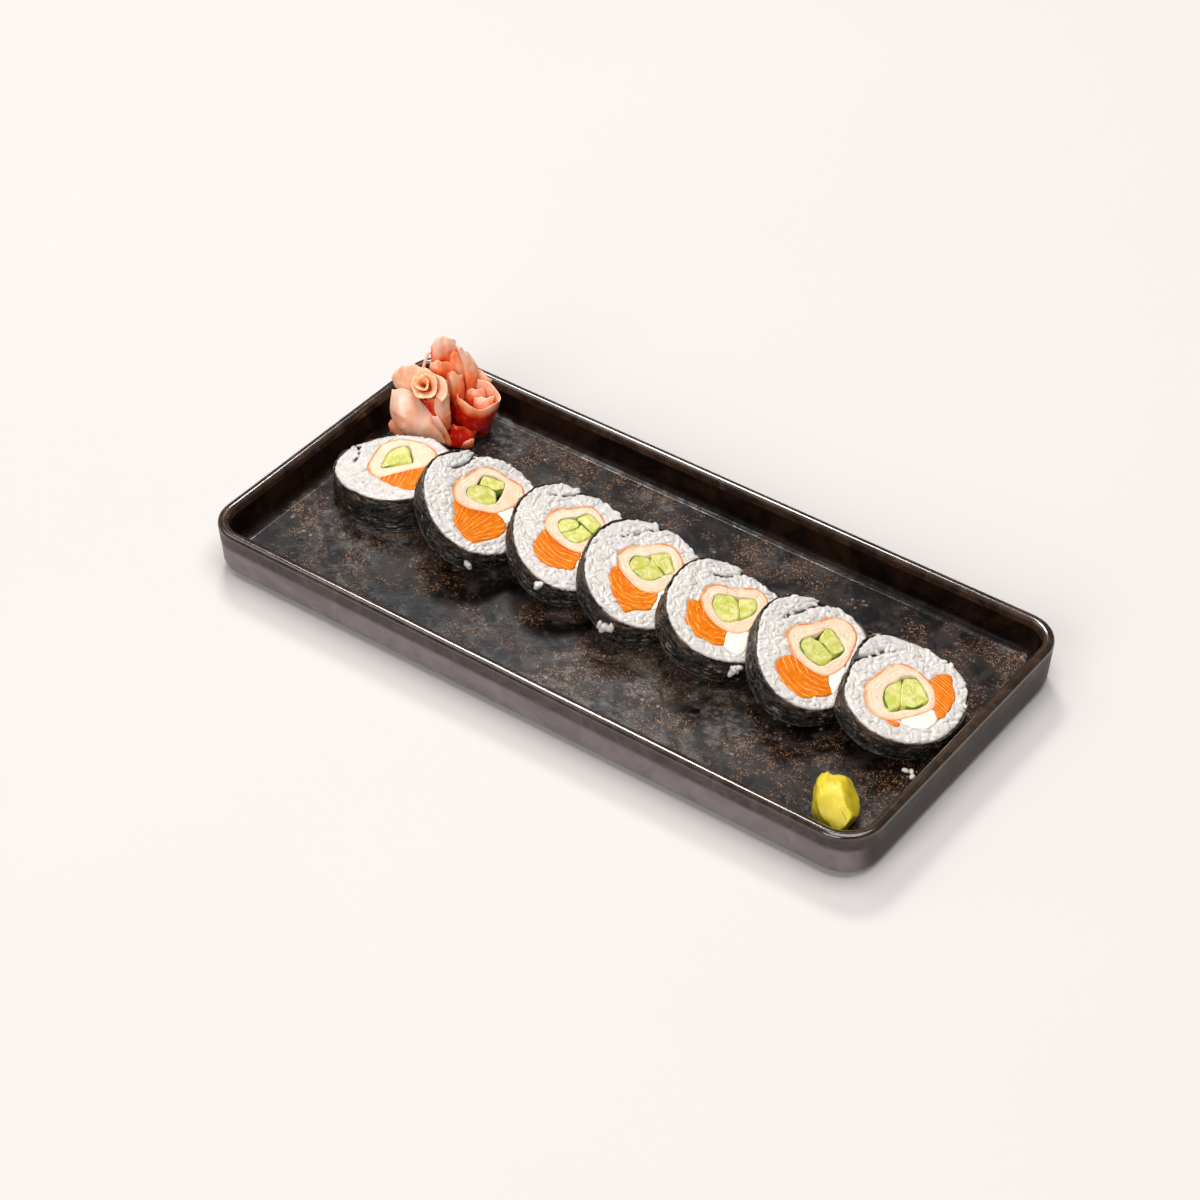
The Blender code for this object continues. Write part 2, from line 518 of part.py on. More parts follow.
def build_tray(parts):
    rim_round = RIM_WIDTH * 0.3
    inner_foot = RIM_WIDTH + WALL_LEAN
    profile = [
        (FOOT_INSET, 0), (FOOT_INSET, FOOT_HEIGHT),
        (BASE_INSET + EDGE_ROUND, FOOT_HEIGHT),
        (BASE_INSET + EDGE_ROUND * 0.3, FOOT_HEIGHT + EDGE_ROUND * 0.3),
        (BASE_INSET, FOOT_HEIGHT + EDGE_ROUND),
        (0, TRAY_HEIGHT - rim_round * 1.6),
        (rim_round * 0.4, TRAY_HEIGHT - rim_round * 0.4),
        (rim_round * 1.3, TRAY_HEIGHT),
        (RIM_WIDTH - rim_round * 1.3, TRAY_HEIGHT),
        (RIM_WIDTH - rim_round * 0.4, TRAY_HEIGHT - rim_round * 0.4),
        (RIM_WIDTH, TRAY_HEIGHT - rim_round * 1.6),
        (inner_foot, FLOOR_TOP + FLOOR_FILLET),
        (inner_foot + FLOOR_FILLET * 0.3, FLOOR_TOP + FLOOR_FILLET * 0.3),
        (inner_foot + FLOOR_FILLET, FLOOR_TOP),
    ]
    loft("tray", [rounded_rectangle(inset, z) for inset, z in profile], parts, "tray")


def build_wasabi(parts):
    """An egg on its side with shallow spoon ridges along it."""
    length, width, height = WASABI_HALF
    rings = []
    for i in range(1, WASABI_RINGS):
        t = -cos(pi * i / WASABI_RINGS)
        swell = (1 - abs(t) ** WASABI_BLUNT) ** 0.5
        ring = []
        for k in range(WASABI_SEGMENTS):
            angle = 2 * pi * k / WASABI_SEGMENTS
            ridge = 1 + WASABI_RIDGE * cos(WASABI_RIDGES * angle + 0.8) * swell
            y = width * swell * ridge * cos(angle) * (1 + 0.1 * t)
            z = height * (WASABI_SIT + (1 - WASABI_SIT) * swell * ridge * sin(angle))
            ring.append(Vector((length * t, y, max(z, 0.0))))
        rings.append(ring)
    wasabi = loft("wasabi", rings, parts, "wasabi")
    wasabi.location = (WASABI_AT[0] * MM, WASABI_AT[1] * MM, (FLOOR_TOP + GAP) * MM)
    wasabi.rotation_euler.z = radians(WASABI_TURN)


def through(stations, steps):
    """Points on a smooth open curve through the stations, steps to each span."""
    last = len(stations) - 1
    points = []
    for i in range(last):
        before, here = stations[max(i - 1, 0)], stations[i]
        after, beyond = stations[i + 1], stations[min(i + 2, last)]
        for k in range(steps):
            t = k / steps
            points.append(0.5 * (2 * here + (after - before) * t
                                 + (2 * before - 5 * here + 4 * after - beyond) * t ** 2
                                 + (3 * here - before - 3 * after + beyond) * t ** 3))
    return points + [stations[last]]


def petal(name, stations, parts):
    """A thin curved slice of ginger: a sheet through arched stations, then given thickness."""
    edges = [through([Vector(station[k]) for station in stations], GINGER_ALONG) for k in range(3)]
    form = bmesh.new()
    rows = []
    for low, middle, high in zip(*edges):
        row = []
        for k in range(GINGER_UP + 1):
            t = k / GINGER_UP
            point = low * (1 - t) * (1 - 2 * t) + middle * 4 * t * (1 - t) + high * t * (2 * t - 1)
            row.append(form.verts.new(point * MM))
        rows.append(row)
    for row, ahead in zip(rows, rows[1:]):
        for k in range(GINGER_UP):
            form.faces.new((row[k], row[k + 1], ahead[k + 1], ahead[k]))
    mesh = bpy.data.meshes.new(name)
    form.to_mesh(mesh)
    form.free()
    mesh.shade_smooth()
    mesh.materials.append(material("ginger"))
    obj = bpy.data.objects.new(name, mesh)
    parts.objects.link(obj)
    obj.location = (GINGER_AT[0] * MM, GINGER_AT[1] * MM, FLOOR_TOP * MM)
    obj.rotation_euler.z = radians(GINGER_TURN)
    body = obj.modifiers.new("body", "SOLIDIFY")
    body.thickness = GINGER_THICK * MM
    body.offset = 0


def rolled_stations():
    """Stations of the rolled slice, from the middle of its spiral to its loose end."""
    across = Vector((1, 0, 0))
    upward = Vector((0, sin(radians(GINGER_FACING)), cos(radians(GINGER_FACING))))
    mouth = Vector(GINGER_MOUTH)
    point = Vector(GINGER_POINT)
    stations = []
    for angle, radius in GINGER_ROLL:
        arm = radius * (across * cos(radians(angle)) + upward * sin(radians(angle)))
        low = point + arm * GINGER_TAPER
        high = mouth + arm
        stations.append((low, (low + high) / 2 + 0.08 * arm, high))
    return stations


def build_ginger(parts):
    for number, stations in enumerate(list(GINGER.values()) + [rolled_stations()], 1):
        petal("ginger_%d" % number, stations, parts)


def main():
    clear_scene()
    parts = new_collection("sushi_tray")
    cutters = new_collection("cutters")
    build_tray(parts)
    for number, spec in SLICES.items():
        build_slice(number, spec, parts, cutters)
    build_wasabi(parts)
    build_ginger(parts)


main()
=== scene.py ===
"""Looks for the sushi tray: pressed rice grains, wrinkled seaweed, layered crab stick, striped
salmon, folded ginger, a ridged lump of wasabi and a speckled stoneware tray, made round the
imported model. Lengths inside the functions are in millimetres unless a name says otherwise."""
from itertools import product
from math import cos, pi, radians, sin

import bmesh
import bpy
import numpy as np
from mathutils import Matrix, Vector
from mathutils.geometry import delaunay_2d_cdt


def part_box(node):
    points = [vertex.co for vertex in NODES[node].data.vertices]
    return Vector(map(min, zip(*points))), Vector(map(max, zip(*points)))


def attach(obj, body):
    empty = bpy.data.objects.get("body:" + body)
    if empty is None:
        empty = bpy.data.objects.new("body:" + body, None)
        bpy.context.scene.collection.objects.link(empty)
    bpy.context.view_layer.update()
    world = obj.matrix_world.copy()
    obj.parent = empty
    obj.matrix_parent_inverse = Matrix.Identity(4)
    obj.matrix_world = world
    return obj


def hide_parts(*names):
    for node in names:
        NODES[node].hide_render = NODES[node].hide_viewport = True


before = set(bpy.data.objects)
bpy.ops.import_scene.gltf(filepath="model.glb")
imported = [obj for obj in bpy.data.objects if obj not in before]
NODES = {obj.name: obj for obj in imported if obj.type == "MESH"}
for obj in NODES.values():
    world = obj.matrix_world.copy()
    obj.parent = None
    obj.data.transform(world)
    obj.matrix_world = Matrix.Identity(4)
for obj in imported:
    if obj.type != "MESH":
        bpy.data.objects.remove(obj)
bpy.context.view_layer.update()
MM = 0.001
FLOOR = 8.2                  # height of the tray floor
TURN = radians(36.5)         # what stands on the tray is laid out in axes turned this far
AXES = np.array([[cos(TURN), sin(TURN), 0], [-sin(TURN), cos(TURN), 0], [0, 0, 1]])


# ------------------------------------------------------------------ noise

def lattice(x, y, z, seed):
    """A repeatable value from -1 to 1 for each whole-number place."""
    h = (x * 73856093) ^ (y * 19349663) ^ (z * 83492791) ^ (seed * 50331653)
    h = (h ^ (h >> 13)) * 1274126177 & 0x7FFFFFFF
    h = h ^ (h >> 16)
    return (h & 0xFFFF) / 32767.5 - 1.0


def noise(points, size, seed=0, octaves=1):
    """Smooth noise from about -1 to 1 at flat or solid points, with features of about that size."""
    points = np.asarray(points, float)
    if points.shape[1] == 2:
        points = np.column_stack([points, np.zeros(len(points))])
    total, weights = np.zeros(len(points)), 0.0
    for k in range(octaves):
        q = points / size * 2 ** k + 17.3 * k
        cell = np.floor(q).astype(np.int64)
        f = q - cell
        f = f * f * (3 - 2 * f)
        value = 0
        for corner in product((0, 1), repeat=3):
            share = np.where(corner, f, 1 - f).T
            value = value + share[0] * share[1] * share[2] * lattice(*(cell + corner).T, seed * 31 + k)
        total += 0.55 ** k * value
        weights += 0.55 ** k
    return total / weights


def ease(t):
    """A soft step from 0 to 1."""
    t = np.clip(t, 0.0, 1.0)
    return t * t * (3 - 2 * t)


def unit(vectors):
    """The vectors at length 1."""
    return vectors / (np.linalg.norm(vectors, axis=-1, keepdims=True) + 1e-9)


# ------------------------------------------------------------------ meshes

def linked(name, data):
    """A new object in the scene."""
    obj = bpy.data.objects.new(name, data)
    bpy.context.scene.collection.objects.link(obj)
    return obj


def build(name, points, faces, mat, slot, fields, replaced=()):
    """A smooth mesh piece in the row frame from points in millimetres, riding on the one body."""
    mesh = bpy.data.meshes.new(name)
    points = np.asarray(points, np.float32) * MM
    triangles = []
    for block in faces:
        block = np.asarray(block, np.int32)
        if block.shape[1] == 4:
            triangles.append(block[:, [0, 1, 2]])
            triangles.append(block[:, [0, 2, 3]])
        else:
            triangles.append(block)
    triangles = np.vstack(triangles)
    count = len(triangles)
    mesh.vertices.add(len(points))
    mesh.vertices.foreach_set("co", points.ravel())
    mesh.loops.add(count * 3)
    mesh.loops.foreach_set("vertex_index", triangles.ravel())
    mesh.polygons.add(count)
    mesh.polygons.foreach_set("loop_start", np.arange(0, count * 3, 3, dtype=np.int32))
    mesh.polygons.foreach_set("loop_total", np.full(count, 3, dtype=np.int32))
    mesh.update(calc_edges=True)
    mesh.shade_smooth()
    for key, values in fields.items():
        kind, word = ("FLOAT", "value") if values.ndim == 1 else ("FLOAT_VECTOR", "vector")
        data = mesh.attributes.new(key, kind, "POINT").data
        data.foreach_set(word, values.astype(np.float32).ravel())
    mesh.materials.append(mat)
    obj = linked(name, mesh)
    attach(obj, "root")
    if replaced:
        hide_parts(*replaced)


def welded(node, quads=False):
    """The node's points in millimetres and its faces, with points at one place joined. If quads,
    the pairs of triangles are joined too."""
    form = bmesh.new()
    form.from_mesh(node.data)
    bmesh.ops.remove_doubles(form, verts=form.verts, dist=1e-6)
    if quads:
        bmesh.ops.join_triangles(form, faces=form.faces, angle_face_threshold=radians(40),
                                 angle_shape_threshold=radians(70))
    form.verts.index_update()
    points = np.array([v.co[:] for v in form.verts]) / MM
    faces = [[v.index for v in f.verts] for f in form.faces]
    form.free()
    return points, faces


def shell_faces(number):
    """The faces of a closed sheet: a grid of point numbers in front, the same grid again for the
    back, its numbers following on, and the rim between them."""
    quad = np.stack([number[:-1, :-1], number[:-1, 1:], number[1:, 1:], number[1:, :-1]], -1).reshape(-1, 4)
    rim = np.concatenate([number[0], number[1:, -1], number[-1, -2::-1], number[-2:0:-1, 0]])
    after = np.roll(rim, -1)
    wall = np.column_stack([after, rim, rim + number.size, after + number.size])
    return [quad, quad[:, ::-1] + number.size, wall]


# ------------------------------------------------------------------ outlines

def spaced(loop, step, closed=True):
    """Points at about that spacing along the polyline."""
    ends = np.vstack([loop, loop[:1]]) if closed else loop
    along = np.concatenate([[0], np.cumsum(np.linalg.norm(np.diff(ends, axis=0), axis=1))])
    count = max(int(round(along[-1] / step)), 6)
    places = np.linspace(0, along[-1], count + 1)[:count + (not closed)]
    return np.column_stack([np.interp(places, along, ends[:, k]) for k in range(ends.shape[1])])


def softened(loop, step, passes):
    """The closed loop at an even step, its corners eased a little by each pass."""
    loop = spaced(loop, step)
    for _ in range(passes):
        loop = 0.25 * np.roll(loop, 1, axis=0) + 0.5 * loop + 0.25 * np.roll(loop, -1, axis=0)
    return loop


def grown(loop, distance):
    """The closed loop moved outwards."""
    before = np.roll(loop, 1, axis=0)
    along = unit(np.roll(loop, -1, axis=0) - before)
    area = np.sum(before[:, 0] * loop[:, 1] - loop[:, 0] * before[:, 1])
    return loop + (distance if area > 0 else -distance) * np.column_stack([along[:, 1], -along[:, 0]])


def inside(points, loops):
    """True where a point lies inside an odd number of the loops."""
    hit = np.zeros(len(points), bool)
    x, y = points[:, 0], points[:, 1]
    for loop in loops:
        for a, b in zip(loop, np.roll(loop, -1, axis=0)):
            crosses = (a[1] > y) != (b[1] > y)
            if crosses.any():
                where = a[0] + (y - a[1]) * (b[0] - a[0]) / (b[1] - a[1] + 1e-12)
                hit ^= crosses & (x < where)
    return hit


def nearest(points, loop):
    """Each point's distance to the closed loop, the place of its foot along the loop, and the foot."""
    best = np.full(len(points), 1e9)
    place = np.zeros(len(points))
    foot = points.copy()
    start = 0.0
    for a, b in zip(loop, np.roll(loop, -1, axis=0)):
        d = b - a
        length = np.linalg.norm(d)
        t = np.clip((points - a) @ d / (length ** 2 + 1e-12), 0, 1)
        there = a + t[:, None] * d
        gap = np.linalg.norm(points - there, axis=1)
        near = gap < best
        best[near], place[near], foot[near] = gap[near], start + t[near] * length, there[near]
        start += length
    return best, place, foot


def edge_gap(points, loops):
    """Each point's distance to the nearest of the closed loops."""
    return np.min([nearest(points, loop)[0] for loop in loops], axis=0)


def scattered(loops, spacing, seed, margin):
    """Points spread evenly but not regularly inside the loops, that margin clear of them."""
    rng = np.random.default_rng(seed)
    low, high = np.vstack(loops).min(0), np.vstack(loops).max(0)
    points = []
    for i, y in enumerate(np.arange(low[1], high[1], spacing * 0.866)):    # rows of a triangle grid
        xs = np.arange(low[0] + (i % 2) * spacing / 2, high[0], spacing)
        points.append(np.column_stack([xs, np.full(len(xs), y)]))
    points = np.vstack(points)
    points += rng.uniform(-0.28, 0.28, points.shape) * spacing
    points = points[inside(points, loops)]
    return points[edge_gap(points, loops) > margin]


def plate(loops, spacing, seed):
    """Fine triangles over the area inside the loops: points, triangles, each loop's point numbers."""
    loops = [spaced(loop, spacing) for loop in loops]
    points = np.vstack(loops + [scattered(loops, spacing, seed, spacing * 0.55)])
    ends = np.cumsum([len(loop) for loop in loops])
    marks = [range(end - len(loop), end) for loop, end in zip(loops, ends)]
    edges = [(k, k + 1 if k + 1 in mark else mark[0]) for mark in marks for k in mark]
    verts, _, faces, source = delaunay_2d_cdt([Vector(p) for p in points], edges, [], 0, 1e-4)[:4]
    found = {old: new for new, olds in enumerate(source) for old in olds}
    flat = np.array([v[:] for v in verts])
    faces = np.array([f for f in faces if len(f) == 3])
    faces = faces[inside(flat[faces].mean(axis=1), loops)]
    a, b, c = (flat[faces[:, k]] for k in range(3))
    turned = np.cross(b - a, c - a) < 0
    faces[turned] = faces[turned][:, ::-1]
    return flat, faces, [np.array([found[k] for k in mark]) for mark in marks]


# ------------------------------------------------------------------ slices

class Slice:
    """One slice of the roll: its own flat axes, x down its slope, z from its lower cut to its upper."""

    def __init__(self, number):
        self.number = number
        self.prefix = "roll_%d_" % number
        self.nodes = {n[len(self.prefix):]: o for n, o in NODES.items() if n.startswith(self.prefix)}
        points, faces = welded(self.nodes["nori"])
        # the lower cut is the largest of the flats that face down
        flats = {}
        for face in faces:
            a, b, c = points[face[:3]]
            normal = np.cross(b - a, c - a)
            if normal @ normal > 1e-18:
                flats.setdefault(tuple(np.round(unit(normal), 2)), []).append(normal)
        under = max((v for k, v in flats.items() if k[2] < -0.5), key=lambda v: np.linalg.norm(v, axis=1).sum())
        axis = Vector(unit(-np.sum(under, axis=0)))
        self.turn = np.array(Vector((0, 0, 1)).rotation_difference(axis).to_matrix())
        local = points @ self.turn
        lower = local[local[:, 2] < local[:, 2].min() + 0.05]
        self.base = np.append(lower[:, :2].mean(0), lower[0, 2]) @ self.turn.T
        local = self.local(points)
        upper = local[local[:, 2] > 2]
        terms = np.column_stack([np.ones(len(upper)), upper[:, 0], upper[:, 1]])
        self.plane = np.linalg.lstsq(terms, upper[:, 2], rcond=None)[0]

    def local(self, points):
        return (points - self.base) @ self.turn

    def world(self, points):
        return points @ self.turn.T + self.base

    def top(self, flat):
        """Height of the upper cut over flat points."""
        return self.plane[0] + self.plane[1] * flat[:, 0] + self.plane[2] * flat[:, 1]

    def loops(self, kind):
        """The outlines of a node in its lower cut, the outer one first."""
        points, faces = welded(self.nodes[kind])
        local = self.local(points)
        low = np.abs(local[:, 2]) < 0.02
        edges = {}
        for face in faces:
            if all(low[i] for i in face):
                for edge in zip(face, face[1:] + face[:1]):
                    key = tuple(sorted(edge))
                    edges[key] = edges.get(key, 0) + 1
        links = {}
        for (a, b), times in edges.items():
            if times == 1:
                links.setdefault(a, []).append(b)
                links.setdefault(b, []).append(a)
        loops = []
        left = set(links)
        while left:
            first = left.pop()
            loop = [first]
            last, here = None, first
            while True:
                onward = [n for n in links[here] if n != last and (n in left or n == first)]
                if not onward or onward[0] == first:
                    break
                last, here = here, onward[0]
                left.discard(here)
                loop.append(here)
            if len(loop) > 2:
                loops.append(local[loop][:, :2])
        return sorted(loops, key=lambda loop: -np.ptp(loop[:, 0]) * np.ptp(loop[:, 1]))


def run_through(piece, name, area, upper, lower, mat, slot, fields, replaced=()):
    """A solid run through the slice over a plate's area, raised by upper over the upper cut and
    by lower over the lower one."""
    flat, faces, rings = area
    count = len(flat)
    blocks = [faces, faces[:, ::-1] + count]
    for k, ring in enumerate(rings):
        after = np.roll(ring, -1)
        turn = np.sum(flat[ring][:, 0] * flat[after][:, 1] - flat[after][:, 0] * flat[ring][:, 1])
        wall = np.column_stack([ring + count, after + count, after, ring])
        blocks.append(wall if (turn > 0) == (k == 0) else wall[:, ::-1])
    top, bottom = np.column_stack([flat, piece.top(flat) + upper]), np.column_stack([flat, lower])
    build(piece.prefix + name, piece.world(np.vstack([top, bottom])), blocks, mat, slot,
          {key: np.concatenate([values, values]) for key, values in fields.items()}, replaced)


def filling(piece, kind, mat, slot, form, spacing, grow, seed, passes):
    """One filling of the slice. form(flat, outline) gives the relief of the cut and the three
    values the paint reads."""
    loops = [softened(loop, 0.5, passes) for loop in piece.loops(kind)]
    loops = [grown(loops[0], grow)] + [grown(loop, -grow) for loop in loops[1:]]
    area = plate(loops, spacing, seed)
    flat = area[0]
    shoulder = 0.16 * (1 - ease(edge_gap(flat, [spaced(loop, 0.8) for loop in loops]) / 0.45))
    rise, flow = form(flat, spaced(loops[0], 0.8))
    run_through(piece, kind + "_cut", area, rise - shoulder, shoulder - 0.5 * rise, mat, slot,
                {"flow": flow}, (piece.prefix + kind,))


# ------------------------------------------------------------------ rice

GRAIN_RINGS = 7
GRAIN_SIDES = 9
HOLE_ROOM = 0.25             # how far a grain may reach into a filling
CUT_ROOM = 0.34              # how far a grain may stand above the cut


def grain_template():
    """A rice grain along x, of length, width and thickness 1."""
    points = [(-0.5, 0, 0)]
    for i in range(1, GRAIN_RINGS):
        t = -cos(pi * i / GRAIN_RINGS)
        radius = 0.5 * (1 - abs(t) ** 2.5) ** 0.5
        for k in range(GRAIN_SIDES):
            a = 2 * pi * k / GRAIN_SIDES
            points.append((0.5 * t, radius * cos(a), radius * sin(a) + 0.1 * (1 - t * t) - 0.05))
    points.append((0.5, 0, 0))
    last = len(points) - 1
    faces = []
    for k in range(GRAIN_SIDES):
        n = (k + 1) % GRAIN_SIDES
        faces.append((0, 1 + n, 1 + k))
        for i in range(GRAIN_RINGS - 2):
            a = 1 + i * GRAIN_SIDES
            b = a + GRAIN_SIDES
            faces.append((a + k, a + n, b + n))
            faces.append((a + k, b + n, b + k))
        a = 1 + (GRAIN_RINGS - 2) * GRAIN_SIDES
        faces.append((a + k, a + n, last))
    return np.array(points), np.array(faces)


GRAIN_POINTS, GRAIN_FACES = grain_template()


def grains(centres, azimuth, tilt, size, twist):
    """All the grains' points (n, points, 3) from their places, directions and (length, width, depth)."""
    along = np.column_stack([np.cos(azimuth) * np.cos(tilt), np.sin(azimuth) * np.cos(tilt), np.sin(tilt)])
    side = np.column_stack([-np.sin(azimuth), np.cos(azimuth), 0 * azimuth])
    up = np.cross(along, side)
    c, s = np.cos(twist)[:, None], np.sin(twist)[:, None]
    axes = np.stack([along, side * c + up * s, up * c - side * s], axis=1)
    return centres[:, None] + (GRAIN_POINTS * size[:, None]) @ axes


def grain_faces(count):
    return (GRAIN_FACES[None] + (np.arange(count) * len(GRAIN_POINTS))[:, None, None]).reshape(-1, 3)


def sizes(rng, count, *limits):
    """Random lengths, widths and depths of grains, each between its two limits."""
    return np.column_stack([rng.uniform(low, high, count) for low, high in limits])


def pressed(points, outline, holes, allow):
    """Flat points held inside the outline, or up to allow outside it, and out of the holes."""
    for loop in [outline] + holes:
        wrong = inside(points, [loop]) != (loop is outline)
        stray = points[wrong]
        gap, _, foot = nearest(stray, loop)
        room = allow[wrong] if loop is outline else HOLE_ROOM
        share = np.minimum(room * np.tanh(gap / np.maximum(room, 1e-3)) / np.maximum(gap, 1e-6), 1)
        points[wrong] = foot + (stray - foot) * share[:, None]
    return points


def overhang(flat):
    """How far the rice may stand out over the seaweed: only on the far side of the face."""
    angle = np.arctan2(flat[:, 1], flat[:, 0])
    return ease((angle - 0.2) / 0.5) * ease((2.75 - angle) / 0.4)


def rice_grains(piece, loops, shade, mat, extra):
    """The grains at both cuts of a slice, pressed flat by the knife, and the loose ones outside."""
    outline = softened(loops[0], 0.8, 2)
    holes = [softened(loop, 0.8, 1) for loop in loops[1:]]
    shapes, tones, blocks = [], [], []
    for upper, spacing, seed in ((True, 1.8, 10 + piece.number), (False, 2.5, 50 + piece.number)):
        rng = np.random.default_rng(seed)
        flat = scattered([outline] + holes, spacing, seed, 0.5)
        count = len(flat)
        azimuth = rng.uniform(0, 2 * pi, count)
        tangent = np.arctan2(flat[:, 1], flat[:, 0]) + pi / 2
        near = (edge_gap(flat, [outline]) < 1.6) | (edge_gap(flat, holes) < 1.4)
        azimuth[near] = tangent[near] + rng.normal(0, 0.6, near.sum())
        tilt = rng.normal(0, 0.22, count)
        size = sizes(rng, count, (4.0, 5.8), (1.95, 2.5), (1.6, 2.1))
        rise = rng.uniform(-0.32, 0.36, count) + 0.3 * noise(flat, 5, seed, 2)
        depth = rise - size[:, 2] / 2 - np.abs(np.sin(tilt)) * size[:, 0] * 0.2
        points = grains(np.column_stack([flat, depth]), azimuth, tilt, size, rng.uniform(-0.5, 0.5, count))
        line = points.reshape(-1, 3)
        z = line[:, 2]
        line[:, 2] = np.where(z > 0, CUT_ROOM * np.tanh(z / CUT_ROOM), z)
        allow = 0.03 + 0.62 * overhang(line) * ease((line[:, 2] + 1.1) / 0.7)
        line[:, :2] = pressed(line[:, :2].copy(), outline, holes, allow)
        line[:, 2] = line[:, 2] + piece.top(line) if upper else -line[:, 2]
        blocks.append(grain_faces(count)[:, ::1 if upper else -1] + sum(map(len, shapes)))
        shapes.append(line)
        tones.append(np.column_stack([rng.uniform(0, 1, count), shade(flat)]))
    if extra:
        blocks.append(grain_faces(len(extra[0])) + sum(map(len, shapes)))
        shapes.append(grains(*extra).reshape(-1, 3))
        tones.append(np.tile([0.7, 0.0], (len(extra[0]), 1)))
    tone, shades = np.repeat(np.vstack(tones), len(GRAIN_POINTS), axis=0).T
    build(piece.prefix + "rice_grains", piece.world(np.vstack(shapes)), blocks, mat, "rice",
          {"tone": tone, "shade": shades}, (piece.prefix + "rice",))


def clump(piece, angle, height, spread, count, seed):
    """Grains stuck together on the seaweed, at an angle round the slice and that far above its
    lower cut: what grains() takes."""
    rng = np.random.default_rng(seed)
    path = closed_path(piece)
    aim = radians(angle)
    out, across = np.array([cos(aim), sin(aim)]), np.array([-sin(aim), cos(aim)])
    turned = np.abs((np.arctan2(path[:, 1], path[:, 0]) - aim + pi) % (2 * pi) - pi)
    radius = np.linalg.norm(path[turned < 0.1], axis=1).max() + 0.5
    offset = rng.normal(0, spread * 0.5, (count, 2))
    centres = np.column_stack([radius * out + offset[:, :1] * across
                               + rng.uniform(0, 0.35 * spread, (count, 1)) * out, height + offset[:, 1]])
    size = sizes(rng, count, (3.6, 5.0), (2.2, 2.8), (1.9, 2.3))
    return centres, rng.uniform(0, pi, count), rng.normal(0, 0.7, count), size, rng.uniform(-1, 1, count)


def rice_core(piece, loops, shade, mat):
    """What lies under the grains, a little smaller all round."""
    shrunk = [grown(softened(loops[0], 0.9, 1), -0.35)] + [softened(loop, 0.9, 1) for loop in loops[1:]]
    area = plate(shrunk, 0.9, 3)
    flat = area[0]
    run_through(piece, "rice_core", area, 0.25 * noise(flat, 1.8, 5, 2) - 0.3,
                0.45 - 0.25 * noise(flat, 1.8, 9, 2), mat, "rice",
                {"tone": np.full(len(flat), 0.4), "shade": shade(flat)})


# ------------------------------------------------------------------ seaweed

SHEET = 0.34                 # thickness of the seaweed that shows
STEP = 0.5                   # spacing of its points along its length
ROWS = 26                    # rows of points up it
CLOSING = 7.0                # length of the outer end that is pressed down on the turn below


def sheet_path(piece):
    """The middle of the seaweed in the slice's section, from its tucked end to its outer end."""
    loop = piece.loops("nori")[0]
    after = np.roll(loop, -1, axis=0)
    length = np.linalg.norm(after - loop, axis=1)
    ends = []
    for k in np.argsort(length):
        if all(min((k - e) % len(loop), (e - k) % len(loop)) > 8 for e in ends):
            ends.append(k)
        if len(ends) == 2:
            break
    first, second = sorted(ends)
    side_a = loop[first + 1:second + 1]
    side_b = np.vstack([loop[second + 1:], loop[:first + 1]])[::-1]
    along = np.linspace(0, 1, 400)

    def at(side):
        steps = np.concatenate([[0], np.cumsum(np.linalg.norm(np.diff(side, axis=0), axis=1))])
        return np.column_stack([np.interp(along, steps / steps[-1], side[:, k]) for k in (0, 1)])

    path = (at(side_a) + at(side_b)) / 2
    if np.linalg.norm(path[0] - loop.mean(0)) > np.linalg.norm(path[-1] - loop.mean(0)):
        path = path[::-1].copy()
    for _ in range(12):
        path[1:-1] = 0.25 * path[:-2] + 0.5 * path[1:-1] + 0.25 * path[2:]
    return path


def closed_path(piece):
    """The seaweed's middle line with its outer end laid down on the turn beneath."""
    path = spaced(sheet_path(piece), STEP, closed=False)
    count = len(path)
    under = path[: int(count * 0.3)]
    last = int(CLOSING / STEP)
    for k in range(count - last, count):
        share = ease((k - (count - last)) / last) * 0.92
        near = under[np.argmin(np.linalg.norm(under - path[k], axis=1))]
        rest = near + unit(path[k] - near) * (SHEET * 1.3)
        path[k] = path[k] * (1 - share) + rest * share
    return path


